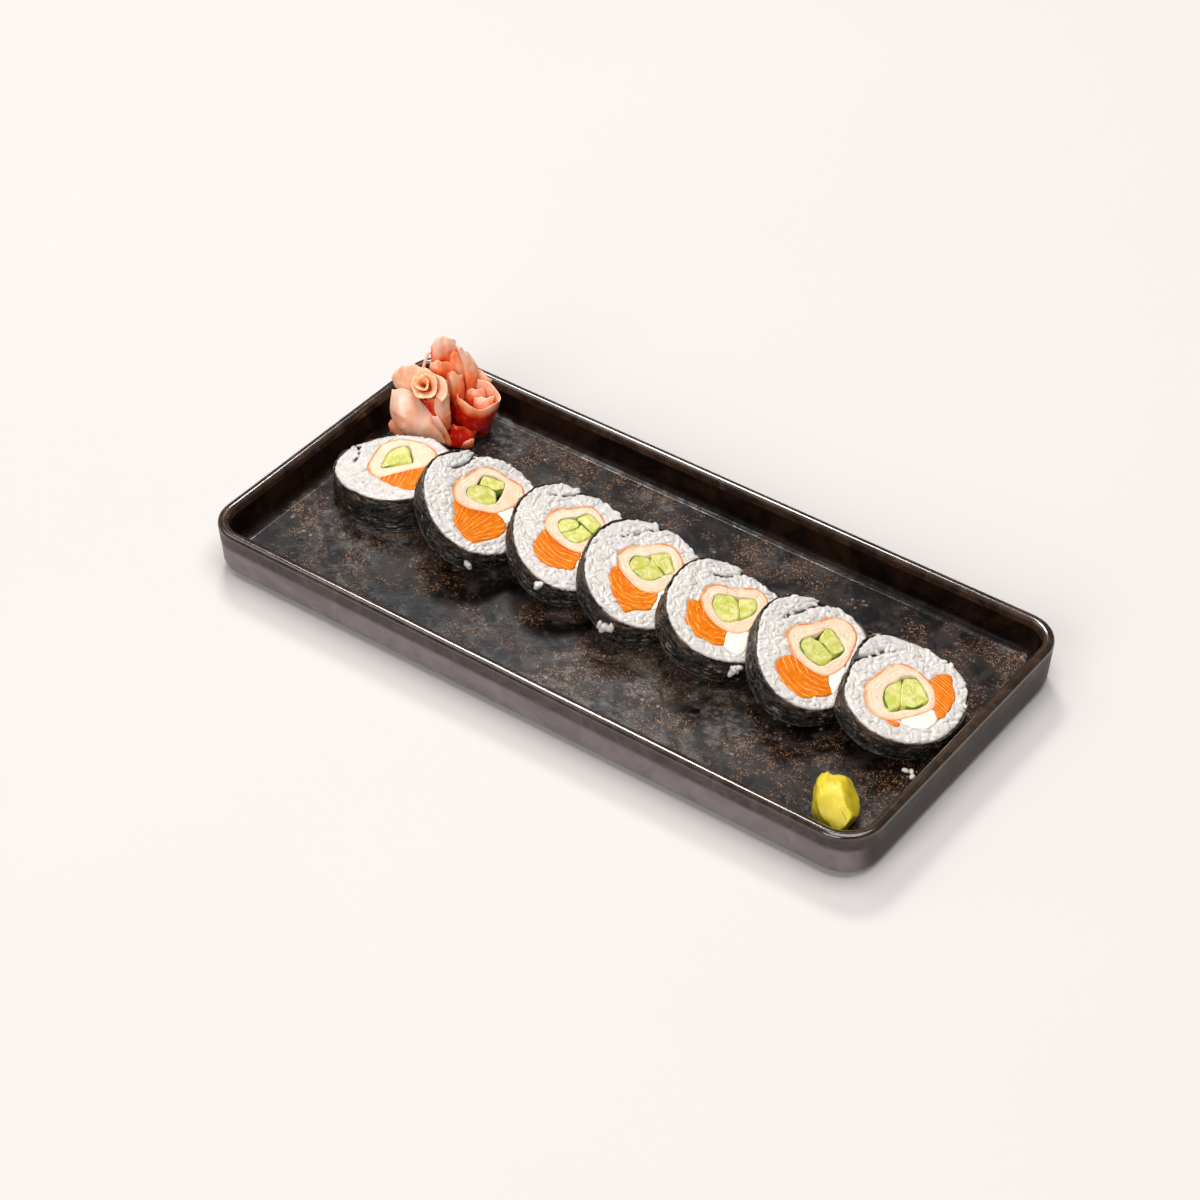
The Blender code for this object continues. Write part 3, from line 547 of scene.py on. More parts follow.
def seaweed(piece, mat):
    """The wrinkled sheet round the slice and tucked into it."""
    path = closed_path(piece)
    count = len(path)
    seed = 70 + piece.number
    ahead = unit(np.gradient(path, axis=0))
    across = np.column_stack([ahead[:, 1], -ahead[:, 0]])
    inwards = np.mean(np.sum(across * (path - path.mean(0)), axis=1)) < 0
    if inwards:
        across = -across
    length = np.arange(count) * STEP
    steps = np.column_stack([length, np.full(count, piece.number * 9.0)])
    tucked = 1 - ease((length - 13) / 5)
    sunk = 0.2 + 0.75 * overhang(path) + tucked * np.clip(0.75 + 1.3 * noise(steps, 2.2, seed + 8), 0, 2)
    top = piece.top(path) - sunk + 0.22 * noise(steps, 3.0, seed) + 0.14 * noise(steps, 1.1, seed + 1)
    low = 0.25 + 0.2 * noise(steps + 50, 3.0, seed)
    free = ease((length - 16) / 6)
    grid = np.zeros((ROWS, count, 3))
    place = np.zeros((ROWS, count, 3))
    for j, t in enumerate(np.linspace(0, 1, ROWS)):
        z = low + (top - low) * t
        spot = np.column_stack([length, z, np.full(count, piece.number * 20.0)])
        skew = spot @ np.array([[1, 0.35, 0], [-0.35, 1, 0], [0, 0, 1]])
        folds, pleats = (np.clip(1 - 2.2 * np.abs(noise(skew * scale, size, seed + k, 2)), 0, 1) ** 2
                         for k, scale, size in ((2, (0.28, 1, 1), 1.9), (3, (1, 0.3, 1), 2.6)))
        push = 0.8 * folds + 0.26 * pleats + 0.36 * noise(spot, 5.5, seed + 4) - 0.3
        push *= (0.25 + 0.75 * ease(min(t, 1 - t) * 6)) * (0.15 + 0.85 * free)
        grid[j] = np.column_stack([path + across * push[:, None], z])
        place[j] = np.column_stack([length, z, np.full(count, t)])
    half = np.column_stack([across, np.zeros(count)]) * SHEET / 2
    points = np.vstack([(grid + half).reshape(-1, 3), (grid - half).reshape(-1, 3)])
    blocks = shell_faces(np.arange(ROWS * count).reshape(ROWS, count))
    if inwards:
        blocks = [block[:, ::-1] for block in blocks]
    build(piece.prefix + "seaweed", piece.world(points), blocks, mat, "nori",
          {"flow": np.tile(place.reshape(-1, 3), (2, 1))}, (piece.prefix + "nori",))


# ------------------------------------------------------------------ node materials

class Value:
    """What a node gives out. Arithmetic on it adds nodes to the paint."""

    def __init__(self, paint, socket):
        self.paint, self.socket = paint, socket

    def __add__(self, other):
        return self.paint.math("ADD", self, other)

    def __sub__(self, other):
        return self.paint.math("SUBTRACT", self, other)

    def __rsub__(self, other):
        return self.paint.math("SUBTRACT", other, self)

    def __mul__(self, other):
        return self.paint.math("MULTIPLY", self, other)


class Paint:
    """Builds one material's nodes. Inputs may be values from other nodes or plain numbers. soft is
    the subsurface weight, scale and radius."""

    def __init__(self, name, soft=None, **constants):
        self.mat = bpy.data.materials.new(name)
        self.mat.use_nodes = True
        self.tree = self.mat.node_tree
        self.shader = self.tree.nodes["Principled BSDF"]
        if soft:
            self.set(Subsurface_Weight=soft[0], Subsurface_Scale=soft[1], Subsurface_Radius=soft[2])
        self.set(**constants)

    def put(self, socket, value):
        if isinstance(value, Value):
            self.tree.links.new(value.socket, socket)
        elif hasattr(socket.default_value, "__len__") and not hasattr(value, "__len__"):
            socket.default_value = [value] * len(socket.default_value)
        elif hasattr(value, "__len__") and len(value) == 3 and len(socket.default_value) == 4:
            socket.default_value = (*value, 1.0)
        else:
            socket.default_value = value

    def set(self, **inputs):
        """Sets the shader's inputs and gives the material."""
        for key, value in inputs.items():
            self.put(self.shader.inputs[key.replace("_", " ")], value)
        return self.mat

    def node(self, kind, output, inputs, **settings):
        """A node's output, from its inputs by name or number."""
        node = self.tree.nodes.new("ShaderNode" + kind)
        for key, value in settings.items():
            setattr(node, key, value)
        for key, value in inputs.items():
            self.put(node.inputs[key], value)
        return Value(self, node.outputs[output])

    def place(self):
        return self.node("TexCoord", "Object", {})

    def field(self, name, output="Fac"):
        return self.node("Attribute", output, {}, attribute_name=name)

    def split(self, vector):
        first = self.node("SeparateXYZ", 0, {0: vector})
        return [Value(self, socket) for socket in first.socket.node.outputs]

    def merge(self, x, y, z):
        return self.node("CombineXYZ", 0, {0: x, 1: y, 2: z})

    def stretch(self, vector, scale):
        return self.node("Mapping", 0, {"Vector": vector, "Scale": scale})

    def noise(self, vector, scale, detail=3.0, roughness=0.55, distortion=0.0):
        return self.node("TexNoise", "Fac", {"Vector": vector, "Scale": scale, "Detail": detail,
                                             "Roughness": roughness, "Distortion": distortion})

    def cells(self, vector, scale):
        return self.node("TexVoronoi", "Distance", {"Vector": vector, "Scale": scale})

    def math(self, operation, a, b=0.0, clamp=False):
        return self.node("Math", 0, {0: a, 1: b}, operation=operation, use_clamp=clamp)

    def span(self, value, low, high, out_low=0.0, out_high=1.0):
        """A soft step from out_low to out_high as the value goes from low to high."""
        return self.node("MapRange", 0, {"Value": value, "From Min": low, "From Max": high, "To Min": out_low,
                                         "To Max": out_high}, interpolation_type="SMOOTHSTEP")

    def mix(self, share, a, b):
        """The colour a, or b as the share goes to 1."""
        return self.node("Mix", 2, {0: share, 6: a, 7: b}, data_type="RGBA", blend_type="MIX")

    def bump(self, height, strength, distance, normal=None):
        inputs = {"Height": height, "Strength": strength, "Distance": distance}
        return self.node("Bump", 0, inputs if normal is None else {**inputs, "Normal": normal})


def rice_paint():
    p = Paint("rice", (0.08, 0.001, (1.0, 0.9, 0.8)), Roughness=0.36, Specular_IOR_Level=0.3)
    tone = p.field("tone")
    shade = p.field("shade")
    base = p.mix(p.span(tone, 0.0, 1.0), (0.555, 0.51, 0.47), (0.72, 0.67, 0.625))
    # painted shade: the rice outside the tucked end of the seaweed is mixed towards grey
    base = p.mix(shade * 0.4, base, (0.40, 0.41, 0.42))
    cloud = p.noise(p.place(), 700, 3)
    base = p.mix(p.span(cloud, 0.35, 0.7, 0.0, 0.3), base, (0.79, 0.75, 0.71))
    fine = p.noise(p.place(), 2600, 2)
    return p.set(Base_Color=base, Normal=p.bump(fine, 0.25, 0.00012))


def seaweed_paint():
    p = Paint("seaweed", Specular_IOR_Level=0.5)
    x, z, t = p.split(p.field("flow", "Vector"))
    wander = p.noise(p.merge(x * 0.2, z, 7.0), 0.5, 2) * 1.6
    across = z + wander
    streak = p.noise(p.merge(x * 0.12, across, 0.0), 0.85, 4, 0.6, 0.5)
    vein = p.noise(p.merge(x * 0.10, across, 9.0), 1.6, 3, 0.55)
    fleck = p.noise(p.place(), 1300, 4, 0.65)
    base = p.mix(p.span(streak, 0.40, 0.62), (0.0018, 0.0014, 0.0010), (0.020, 0.015, 0.010))
    # painted reflection: brown patches over the upper part of the sheet
    patch = p.noise(p.merge(x, z, 4.0), 0.16, 3)
    painted_upper_reflection = p.span(t, 0.3, 1.0) * p.span(patch, 0.42, 0.60)
    base = p.mix(painted_upper_reflection * 0.8, base, (0.13, 0.075, 0.048))
    # painted glints: pale streaks along the veins stand for highlights on the wet sheet
    light = p.span(vein, 0.54, 0.64) * p.span(p.noise(p.merge(x, z, 2.0), 0.30, 3), 0.48, 0.60)
    base = p.mix(light * 0.7, base, (0.42, 0.35, 0.27))
    base = p.mix(p.span(fleck, 0.60, 0.76, 0.0, 0.25), base, (0.10, 0.095, 0.07))
    # painted highlight: a broken pale line along the lower cut edge of the sheet
    cut = (1 - p.span(t, 0.015, 0.05)) * p.span(p.noise(p.merge(x, 0.0, 3.0), 0.25, 3), 0.38, 0.5)
    base = p.mix(cut * 0.8, base, (0.40, 0.31, 0.29))
    rough = p.span(streak, 0.35, 0.65, 0.16, 0.30)
    first = p.bump(streak, 1.0, 0.0026)
    second = p.bump(vein, 1.0, 0.0005, first)
    return p.set(Base_Color=base, Roughness=rough, Normal=p.bump(fleck, 0.2, 0.0002, second))


def surimi_paint():
    p = Paint("surimi", (0.15, 0.0015, (1.0, 0.7, 0.5)), Roughness=0.42)
    s, t, w = p.split(p.field("flow", "Vector"))
    wander = p.noise(p.merge(t, s, 0.0), 0.3, 3)
    depth = s + (wander - 0.5) * 0.8
    base = p.mix(p.span(p.noise(p.place(), 260, 3), 0.35, 0.7), (0.80, 0.59, 0.41), (0.86, 0.69, 0.51))
    seen = p.span(p.noise(p.merge(t, 0.0, 3.0), 0.22, 2), 0.42, 0.6)
    lines = p.span(p.math("SINE", depth * 4.1), 0.86, 1.0) * seen
    base = p.mix(lines * 0.5, base, (0.66, 0.34, 0.14))
    blush = 1 - p.span(depth, 0.4, 1.9)
    base = p.mix(blush * 0.4, base, (0.92, 0.48, 0.22))
    skin = 1 - p.span(depth, 0.55, 1.05)
    broken = p.span(p.noise(p.merge(t, 0.0, 8.0), 0.18, 2), 0.32, 0.5)
    # painted light: the red skin is drawn stronger on the lit upper left of the slice (w); the skin itself is
    # the stick's own red
    skin = skin * broken * p.span(w, 0.0, 0.7, 0.25, 1.0)
    base = p.mix(skin, base, p.mix(p.span(wander, 0.4, 0.6), (0.84, 0.17, 0.02), (0.88, 0.27, 0.05)))
    spots = 1 - p.span(p.cells(p.place(), 260), 0.05, 0.14)
    base = p.mix(spots * 0.5, base, (0.50, 0.26, 0.10))
    fine = p.noise(p.merge(t * 0.4, s * 3.0, 0.0), 1.6, 3)
    return p.set(Base_Color=base, Normal=p.bump(fine, 0.4, 0.0003))


def salmon_paint():
    p = Paint("salmon", (0.1, 0.001, (1.0, 0.35, 0.1)), Roughness=0.34, Specular_IOR_Level=0.12)
    s, t, w = p.split(p.field("flow", "Vector"))
    place = p.merge(s, t * 0.45, 0.0)
    wander = (p.noise(place, 0.55, 3) - 0.5) * 1.3
    wave = p.math("SINE", (s + wander) * 6.2832)    # one fat line for each whole number
    strength = p.noise(p.merge(s * 0.8, t * 0.25, 5.0), 1.1, 2)
    fat = p.span(wave, 0.72, 0.99) * p.span(strength, 0.34, 0.58)
    fine_line = p.math("SINE", (s + wander) * 20.0)
    base = p.mix(p.span(p.noise(p.place(), 360, 3), 0.35, 0.7), (0.68, 0.135, 0.0002), (0.78, 0.205, 0.001))
    base = p.mix(p.span(fine_line, 0.2, 1.0, 0.0, 0.3), base, (0.80, 0.23, 0.012))
    base = p.mix(w * 0.8, base, (0.62, 0.075, 0.0005))
    base = p.mix(fat * 0.85, base, (0.86, 0.46, 0.14))
    fine = p.noise(p.merge(s * 5.0, t * 0.6, 0.0), 1.4, 3)
    return p.set(Base_Color=base, Normal=p.bump(fat, 0.4, 0.0002, p.bump(fine, 0.35, 0.0003)))


def cucumber_paint():
    p = Paint("cucumber", (0.12, 0.002, (0.6, 1.0, 0.25)), Roughness=0.25)
    s, _, w = p.split(p.field("flow", "Vector"))
    soft = p.noise(p.place(), 330, 4, 0.6, 0.8)
    base = p.mix(p.span(soft, 0.38, 0.62), (0.56, 0.55, 0.10), (0.76, 0.70, 0.30))
    streak = p.noise(p.stretch(p.place(), (1, 0.35, 1)), 700, 3, 0.6, 1.0)
    base = p.mix(p.span(streak, 0.56, 0.7, 0.0, 0.55), base, (0.36, 0.45, 0.035))
    base = p.mix((1 - p.span(s, 0.0, 1.3)) * 0.5, base, (0.42, 0.48, 0.05))
    skin = (1 - p.span(s, 0.15, 0.5)) * p.span(w, 0.35, 0.75)
    base = p.mix(skin, base, (0.12, 0.22, 0.006))
    return p.set(Base_Color=base, Normal=p.bump(soft, 0.4, 0.0004))


def cheese_paint():
    p = Paint("cheese", (0.3, 0.0015, (1.0, 0.9, 0.7)), Roughness=0.45)
    soft = p.noise(p.place(), 260, 4)
    base = p.mix(p.span(soft, 0.3, 0.7), (0.84, 0.79, 0.64), (0.90, 0.88, 0.80))
    return p.set(Base_Color=base, Normal=p.bump(soft, 0.4, 0.0005))


def ginger_paint():
    p = Paint("ginger", (0.1, 0.001, (1.0, 0.3, 0.15)), Roughness=0.2, Specular_IOR_Level=0.5)
    cloud = p.noise(p.place(), 130, 3)
    fine = p.noise(p.place(), 420, 4, 0.6, 0.6)
    base = p.mix(p.span(cloud, 0.35, 0.65), (1.0, 0.46, 0.27), (1.0, 0.60, 0.43))
    base = p.mix(p.field("pale") * 0.8, base, (1.0, 0.76, 0.61))
    base = p.mix(p.field("warm"), base, (0.95, 0.52, 0.20))
    # deep: the ginger's own deep red together with painted shade, deepest at the foot of each fold and in the
    # cores under the folds
    deep = p.field("deep")
    base = p.mix(p.span(deep, 0.1, 0.65), base, (0.96, 0.17, 0.025))
    base = p.mix(p.span(deep, 0.45, 0.85), base, (0.60, 0.008, 0.001))
    base = p.mix(p.span(fine, 0.52, 0.75, 0.0, 0.25), base, (0.94, 0.56, 0.40))
    return p.set(Base_Color=base, Normal=p.bump(fine, 0.35, 0.0005))


def wasabi_paint():
    p = Paint("wasabi", (0.2, 0.002, (1.0, 0.8, 0.2)), Roughness=0.4)
    soft = p.noise(p.place(), 200, 4)
    base = p.mix(p.span(soft, 0.3, 0.7), (0.60, 0.45, 0.012), (0.78, 0.62, 0.04))
    fine = p.noise(p.place(), 1500, 3)
    return p.set(Base_Color=base, Normal=p.bump(fine, 0.25, 0.0002))


def tray_paint():
    p = Paint("stoneware", Specular_IOR_Level=0.08, Coat_IOR=1.7)
    place = p.place()
    zone = p.field("zone")
    cloud = p.noise(place, 55, 5, 0.62, 0.8)
    wisp = p.noise(place, 105, 5, 0.68, 0.9)
    grit = p.noise(place, 520, 4, 0.7)
    cluster = p.noise(place, 62, 5, 0.75, 0.3)
    tint = p.noise(place, 700, 2)
    speck = p.cells(place, 1300)
    speck_two = p.cells(p.stretch(place, (1.3, 1.2, 1.3)), 1350)
    dots = p.math("MAXIMUM", 1 - p.span(speck, 0.2, 0.42), 1 - p.span(speck_two, 0.18, 0.38))
    copper = dots * p.span(cluster, 0.455, 0.57) * p.span(tint, 0.35, 0.62, 0.25, 1.0)
    floor = p.mix(p.span(cloud, 0.44, 0.6), (0.0030, 0.0022, 0.0018), (0.030, 0.025, 0.023))
    patch = p.span(p.noise(place, 40, 3, 0.5, 0.3), 0.47, 0.6)
    mottle = p.span(p.noise(place, 170, 5, 0.62, 0.5), 0.42, 0.62)
    floor = p.mix(patch * mottle * p.span(grit, 0.42, 0.58, 0.25, 1.0), floor, (0.120, 0.103, 0.093))
    metal = p.mix(p.span(tint, 0.42, 0.58), (0.17, 0.064, 0.025), (0.52, 0.28, 0.15))
    floor = p.mix(copper, floor, metal)
    pale = (1 - p.span(p.cells(place, 210), 0.07, 0.2)) * p.span(p.noise(place, 30, 2), 0.56, 0.62)
    floor = p.mix(pale * 0.6, floor, (0.42, 0.42, 0.42))
    wall = p.mix(p.span(cloud, 0.4, 0.65), (0.0045, 0.0025, 0.0020), (0.016, 0.007, 0.004))
    rim = p.mix(p.span(wisp, 0.35, 0.7), (0.018, 0.008, 0.004), (0.060, 0.032, 0.019))
    band = p.mix(p.span(wisp, 0.3, 0.7), (0.055, 0.042, 0.038), (0.095, 0.076, 0.072))
    outside = p.mix(p.span(cloud, 0.35, 0.65), (0.165, 0.137, 0.134), (0.215, 0.183, 0.180))
    outside = p.mix(p.span(grit, 0.62, 0.75, 0.0, 0.25), outside, (0.10, 0.08, 0.08))
    # painted shade: the outer wall on the tray's right side, past x = 0.15 m, is darkened
    side = p.span(p.split(place)[0], 0.1500, 0.1545)
    outside = p.mix(side * 0.8, outside, (0.030, 0.020, 0.020))
    base = p.mix(p.span(zone, 0.15, 0.45), outside, band)
    base = p.mix(p.span(zone, 0.72, 0.92), base, rim)
    base = p.mix(p.span(zone, 1.5, 2.0), base, wall)
    base = p.mix(p.span(zone, 2.8, 3.1), base, floor)
    rough = p.span(zone, 0.6, 1.0, 0.42, 0.19)
    rough = rough + p.span(zone, 2.1, 2.9) * p.span(cloud, 0.4, 0.65, 0.12, 0.24)
    relief = wisp * p.span(zone, 1.2, 2.6, 0.03, 1.0)
    first = p.bump(relief, 0.3, 0.0009)
    fillet = p.span(zone, 2.02, 2.3) * (1 - p.span(zone, 2.97, 3.02))
    fillet = fillet * p.span(mottle, 0.2, 0.9, 0.35, 1.0)
    glaze = p.span(zone, 0.6, 1.0) * (1 - p.span(zone, 1.3, 2.0))
    glaze = p.math("ADD", glaze, fillet, True)
    return p.set(Base_Color=base, Roughness=rough, Coat_Weight=glaze, Coat_Roughness=0.14,
                 Normal=p.bump(copper, 0.15, 0.00015, first))


# ------------------------------------------------------------------ fillings

# The run of the salmon's fat lines in each slice's own axes: bent round a point or fanned out
# from it, that point, and the spacing
FAT = {1: ("round", (-32, -21), 2.1), 2: ("fan", (7, -29), 2.1), 3: ("round", (2, 3), 2.0),
       4: ("round", (1.5, -6), 2.2), 5: ("round", (1, -7), 2.5), 6: ("round", (7, -1), 2.3),
       7: ("round", (8, -60), 1.35)}
# Rice stuck to the outside of a slice: angle round it, height, spread and number of grains
CLUMPS = {2: (-54, 4.2, 0.9, 2), 3: (-76, 9.0, 0.9, 3), 4: (-78, 5.0, 2.6, 9), 5: (-44, 9.5, 2.2, 6)}
# Single grains on the tray floor: the slice each lies by, how far right of and behind its middle,
# and the grain's direction
STRAYS = [(1, -19.4, -12.6, 0.4), (2, 6.3, -16.6, 1.2), (2, 4.6, -17.6, 2.6), (7, 16.4, -20.2, 0.3),
          (7, 20.2, -21.5, 1.5), (7, 18.6, -19.4, 2.2)]


def build_strays(mat):
    rng = np.random.default_rng(5)
    places = []
    for number, right, behind, turn in STRAYS:
        low, high = (np.array(v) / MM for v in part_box("roll_%d_nori" % number))
        places.append([*((low + high) / 2 + [right, behind, 0])[:2], FLOOR + 1.0, turn])
    places = np.array(places)
    count = len(places)
    size = np.column_stack([sizes(rng, count, (2.6, 3.8), (1.7, 2.2)), np.full(count, 1.8)])
    points = grains(places[:, :3], places[:, 3], rng.normal(0, 0.1, count), size, rng.uniform(-1, 1, count))
    tone = np.full(points.size // 3, 0.6)
    build("stray_rice", points.reshape(-1, 3), [grain_faces(count)], mat, "rice",
          {"tone": tone, "shade": 0 * tone})


def build_slice(number, paints):
    piece = Slice(number)
    rice_loops = piece.loops("rice")
    path = closed_path(piece)
    tucked = path[: int(len(path) * 0.13)]

    def shade(flat):
        """Painted shade: greyer rice outside the tucked end of the seaweed."""
        gap = np.min(np.linalg.norm(flat[:, None] - tucked[None], axis=2), axis=1)
        beyond = np.linalg.norm(flat, axis=1) - np.linalg.norm(tucked, axis=1).mean()
        return np.clip((1 - ease(gap / 9)) * (0.25 + 0.75 * ease((beyond + 1) / 3))
                       * (0.7 + 0.7 * noise(flat, 4, 3)), 0, 1)

    rice_core(piece, rice_loops, shade, paints["rice"])
    loose = clump(piece, *CLUMPS[number], seed=0) if number in CLUMPS else None
    rice_grains(piece, rice_loops, shade, paints["rice"], loose)
    seaweed(piece, paints["nori"])

    def surimi(flat, outline):
        s, t = nearest(flat, outline)[:2]
        lit = 0.5 + 0.5 * np.cos(np.arctan2(flat[:, 1], flat[:, 0]) - radians(150))
        spot = np.column_stack([t, s * 0.4, np.full(len(t), number * 7.0)])
        leaf = np.abs(((s + 0.5 * noise(spot, 6, 24)) / 1.55) % 1 - 0.5) * 2
        open_here = ease((noise(spot, 5, 23) - 0.05) / 0.3) * ease((s - 0.9) / 0.5)
        rise = 0.05 + 0.12 * noise(flat, 3, 21, 2) - 0.42 * open_here * ease((leaf - 0.72) / 0.28)
        return rise, np.column_stack([s, t + 40 * number, lit])

    def salmon(flat, outline):
        kind, centre, pitch = FAT[number]
        arm = flat - np.array(centre, float)
        radius = np.linalg.norm(arm, axis=1)
        angle = np.arctan2(arm[:, 1], arm[:, 0])
        s, t = (radius, angle * 12) if kind == "round" else (angle * 22, radius)
        near = 1 - ease((np.linalg.norm(flat, axis=1) - 7) / 6)
        rise = 0.1 + 0.16 * noise(flat, 3.5, 31, 2)
        return rise, np.column_stack([s / pitch, t, near])

    def cucumber(flat, outline):
        s, t = nearest(flat, outline)[:2]
        green = np.clip(0.4 + 1.6 * noise(np.column_stack([t, np.full(len(t), number * 5.0)]), 4, 43), 0, 1)
        middle = flat.mean(0)
        lean = noise(middle[None] + number * 11, 3, 47)[0]
        slope = (flat - middle) @ np.array([cos(9 * lean), sin(9 * lean)])
        rise = -0.05 + 0.07 * slope + 0.12 * noise(flat, 2.5, 41, 2)
        return rise, np.column_stack([s, t + 40 * number, green])

    def cheese(flat, outline):
        return 0.05 + 0.3 * noise(flat, 2.6, 51, 3), np.zeros((len(flat), 3))

    # each kind's form, spacing of points, growth, seed and passes of softening
    kinds = {"surimi": (surimi, 0.42, 0.12, number, 2), "salmon": (salmon, 0.5, 0.16, number + 3, 2),
             "cucumber": (cucumber, 0.45, 0.5, number, 1), "cheese": (cheese, 0.5, 0.25, number, 4)}
    for kind in piece.nodes:
        slot = kind.split("_")[0]
        if slot in kinds:
            filling(piece, kind, paints[slot], slot, *kinds[slot])


# ------------------------------------------------------------------ tray

def rounded_frame(half_x, half_y, inset, radius, steps, straight):
    """Points of a rounded rectangle, moved in by inset."""
    r = max(radius - inset, 2.5)
    corners = [np.array((sx * (half_x - inset - r), sy * (half_y - inset - r)))
               for sx, sy in ((1, 1), (-1, 1), (-1, -1), (1, -1))]
    points = []
    for quarter, corner in enumerate(corners):
        for k in range(steps + 1):
            a = pi / 2 * (quarter + k / steps)
            points.append(corner + [r * cos(a), r * sin(a)])
        onward = corners[(quarter + 1) % 4] - corner
        count = straight[quarter % 2]
        points += [points[-1] + onward * k / count for k in range(1, count)]
    return np.array(points)


def build_tray(mat):
    """The tray, turned from rings of points: how far in, how high, and the paint's zone there, from
    0 under the foot and 1 on the rim to 2 on the wall and 3 on the floor."""
    half_x, half_y, height = (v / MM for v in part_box("tray")[1])
    rim, lean_in, fillet, corner = 4.6, 2.6, 4.2, 16.0
    edge = 1.55                       # how far the rim's round reaches down
    inside_top = height - 3.6         # where the inner wall begins
    outside_top = height - 3.4        # where the outer wall ends
    inner = rim + lean_in + fillet    # where the flat floor begins
    profile = [(30, 0.35, 0), (12.6, 0.35, 0), (11.6, 0.0, 0), (10.4, 0.05, 0), (9.8, 0.6, 0), (9.6, 1.3, 0),
               (8.8, 1.5, 0), (5.6, 1.5, 0), (3.9, 1.65, 0), (2.7, 2.2, 0), (1.75, 3.1, 0), (1.25, 4.4, 0)]
    for t in np.arange(1, 6) / 6:
        profile.append((1.25 - t * 1.05, 4.4 + t * (outside_top - 4.4), 0.5 * ease(t * 2.4 - 1.1)))
    profile += [(0.22, outside_top, 0.5), (0.1, outside_top + 0.9, 0.6), (0.02, outside_top + 1.5, 0.75)]
    for a in np.arange(9) * pi / 8:
        profile.append((rim / 2 * (1 - 0.98 * cos(a)), height - edge + edge * abs(sin(a)) ** 0.8, 1.0))
    profile.append((rim + 0.2, height - edge - 1.2, 1.4))
    for t in np.arange(5) / 5:
        profile.append((rim + 0.4 + t * (lean_in - 0.4), inside_top - t * (inside_top - FLOOR - fillet), 2.0))
    for t in np.arange(8) / 7:
        a = t * pi / 2
        profile.append((inner - fillet * cos(a), FLOOR + fillet * (1 - sin(a)), 2.0 + ease(t * 7 / 6)))
    profile += [(inner + d, FLOOR, 3.0) for d in (1.5, 5, 12, 25, 40, half_y - inner - 0.6)]
    rings = [rounded_frame(half_x, half_y, inset, corner, 10, (90, 40)) for inset, _, _ in profile]
    count = len(rings[0])
    points = np.column_stack([np.vstack(rings), np.repeat([z for _, z, _ in profile], count)])
    upper = ease((points[:, 2] - 6) / 14)
    points[:, :2] += unit(points[:, :2]) * (0.16 * noise(points, 60, 4, 2) * upper)[:, None]
    points[:, 2] += 0.12 * noise(points, 45, 6) * upper
    number = np.arange(len(points)).reshape(len(rings), count)
    quads = np.stack([number[:-1], np.roll(number[:-1], -1, axis=1), np.roll(number[1:], -1, axis=1),
                      number[1:]], axis=-1).reshape(-1, 4)
    under, over = (np.column_stack([ring, np.roll(ring, -1), np.full(count, len(points) + k)])
                   for k, ring in enumerate((number[0], number[-1])))
    points = np.vstack([points, points[number[0]].mean(0), points[number[-1]].mean(0)])
    zone = np.append(np.repeat([zone for _, _, zone in profile], count), [0.0, 3.0])
    build("stoneware_tray", points, [quads, under[:, ::-1], over], mat, "tray", {"zone": zone}, ("tray",))


# ------------------------------------------------------------------ ginger and wasabi

def subdivided(node, times):
    """The node's points and faces after that many Catmull-Clark steps."""
    points, faces = welded(node, quads=True)
    mesh = bpy.data.meshes.new("work")
    mesh.from_pydata((points * MM).tolist(), [], faces)
    obj = linked("work", mesh)
    steps = obj.modifiers.new("steps", "SUBSURF")
    steps.levels = steps.render_levels = times
    made = bpy.data.meshes.new_from_object(obj.evaluated_get(bpy.context.evaluated_depsgraph_get()))
    result = np.zeros((len(made.vertices), 3), np.float32)
    made.vertices.foreach_get("co", result.ravel())
    quads = np.array([p.vertices[:] for p in made.polygons])
    bpy.data.objects.remove(obj, do_unlink=True)
    bpy.data.meshes.remove(made)
    bpy.data.meshes.remove(mesh)
    return result.astype(float) / MM, quads


def through(rows, count):
    """A smooth run of that many steps through the rows."""
    rows = np.asarray(rows, float)
    ends = np.concatenate([[2 * rows[0] - rows[1]], rows, [2 * rows[-1] - rows[-2]]])
    place = np.linspace(0, len(rows) - 1, count)
    k = np.minimum(place.astype(int), len(rows) - 2)
    t = (place - k).reshape((-1,) + (1,) * (rows.ndim - 1))
    p, q, r, s = (ends[k + i] for i in range(4))
    return 0.5 * (2 * q + (r - p) * t + (2 * p - 5 * q + 4 * r - s) * t ** 2 + (3 * q - p - 3 * r + s) * t ** 3)


def sheet(grid, seed, thick=0.9, crumple=0.3):
    """A closed thin sheet with soft edges over a grid of points, crumpled a little: its points, its
    faces, and how far across and up each point lies, from 0 to 1."""
    across, up = grid.shape[:2]
    u, v = np.linspace(0, 1, across)[:, None], np.linspace(0, 1, up)[None]
    normal = unit(np.cross(np.gradient(grid, axis=0), np.gradient(grid, axis=1)))
    flat = grid.reshape(-1, 3)
    creases = np.clip(1 - 2 * np.abs(noise(flat, 5.5, seed + 1)), 0, 1) ** 2
    push = crumple * (noise(flat, 6.0, seed, 2) + 0.8 * creases + 0.2 * noise(flat, 1.6, seed + 2))
    grid = grid + normal * push.reshape(across, up, 1)
    edge = np.minimum(np.minimum(u, 1 - u) * 9, np.minimum(v, 1 - v) * 7)
    half = normal * (thick / 2 * (0.2 + 0.8 * np.sqrt(np.clip(edge, 0, 1))))[..., None]
    points = np.vstack([(grid + half).reshape(-1, 3), (grid - half).reshape(-1, 3)])
    number = np.arange(across * up).reshape(across, up)
    share = np.stack(np.broadcast_arrays(u, v), -1).reshape(-1, 2)
    return points, shell_faces(number.T), *np.tile(share, (2, 1)).T


PETAL_ACROSS, PETAL_UP = 40, 30          # points of a petal across and up
SCROLL_ACROSS, SCROLL_UP = 150, 22       # and of the scroll


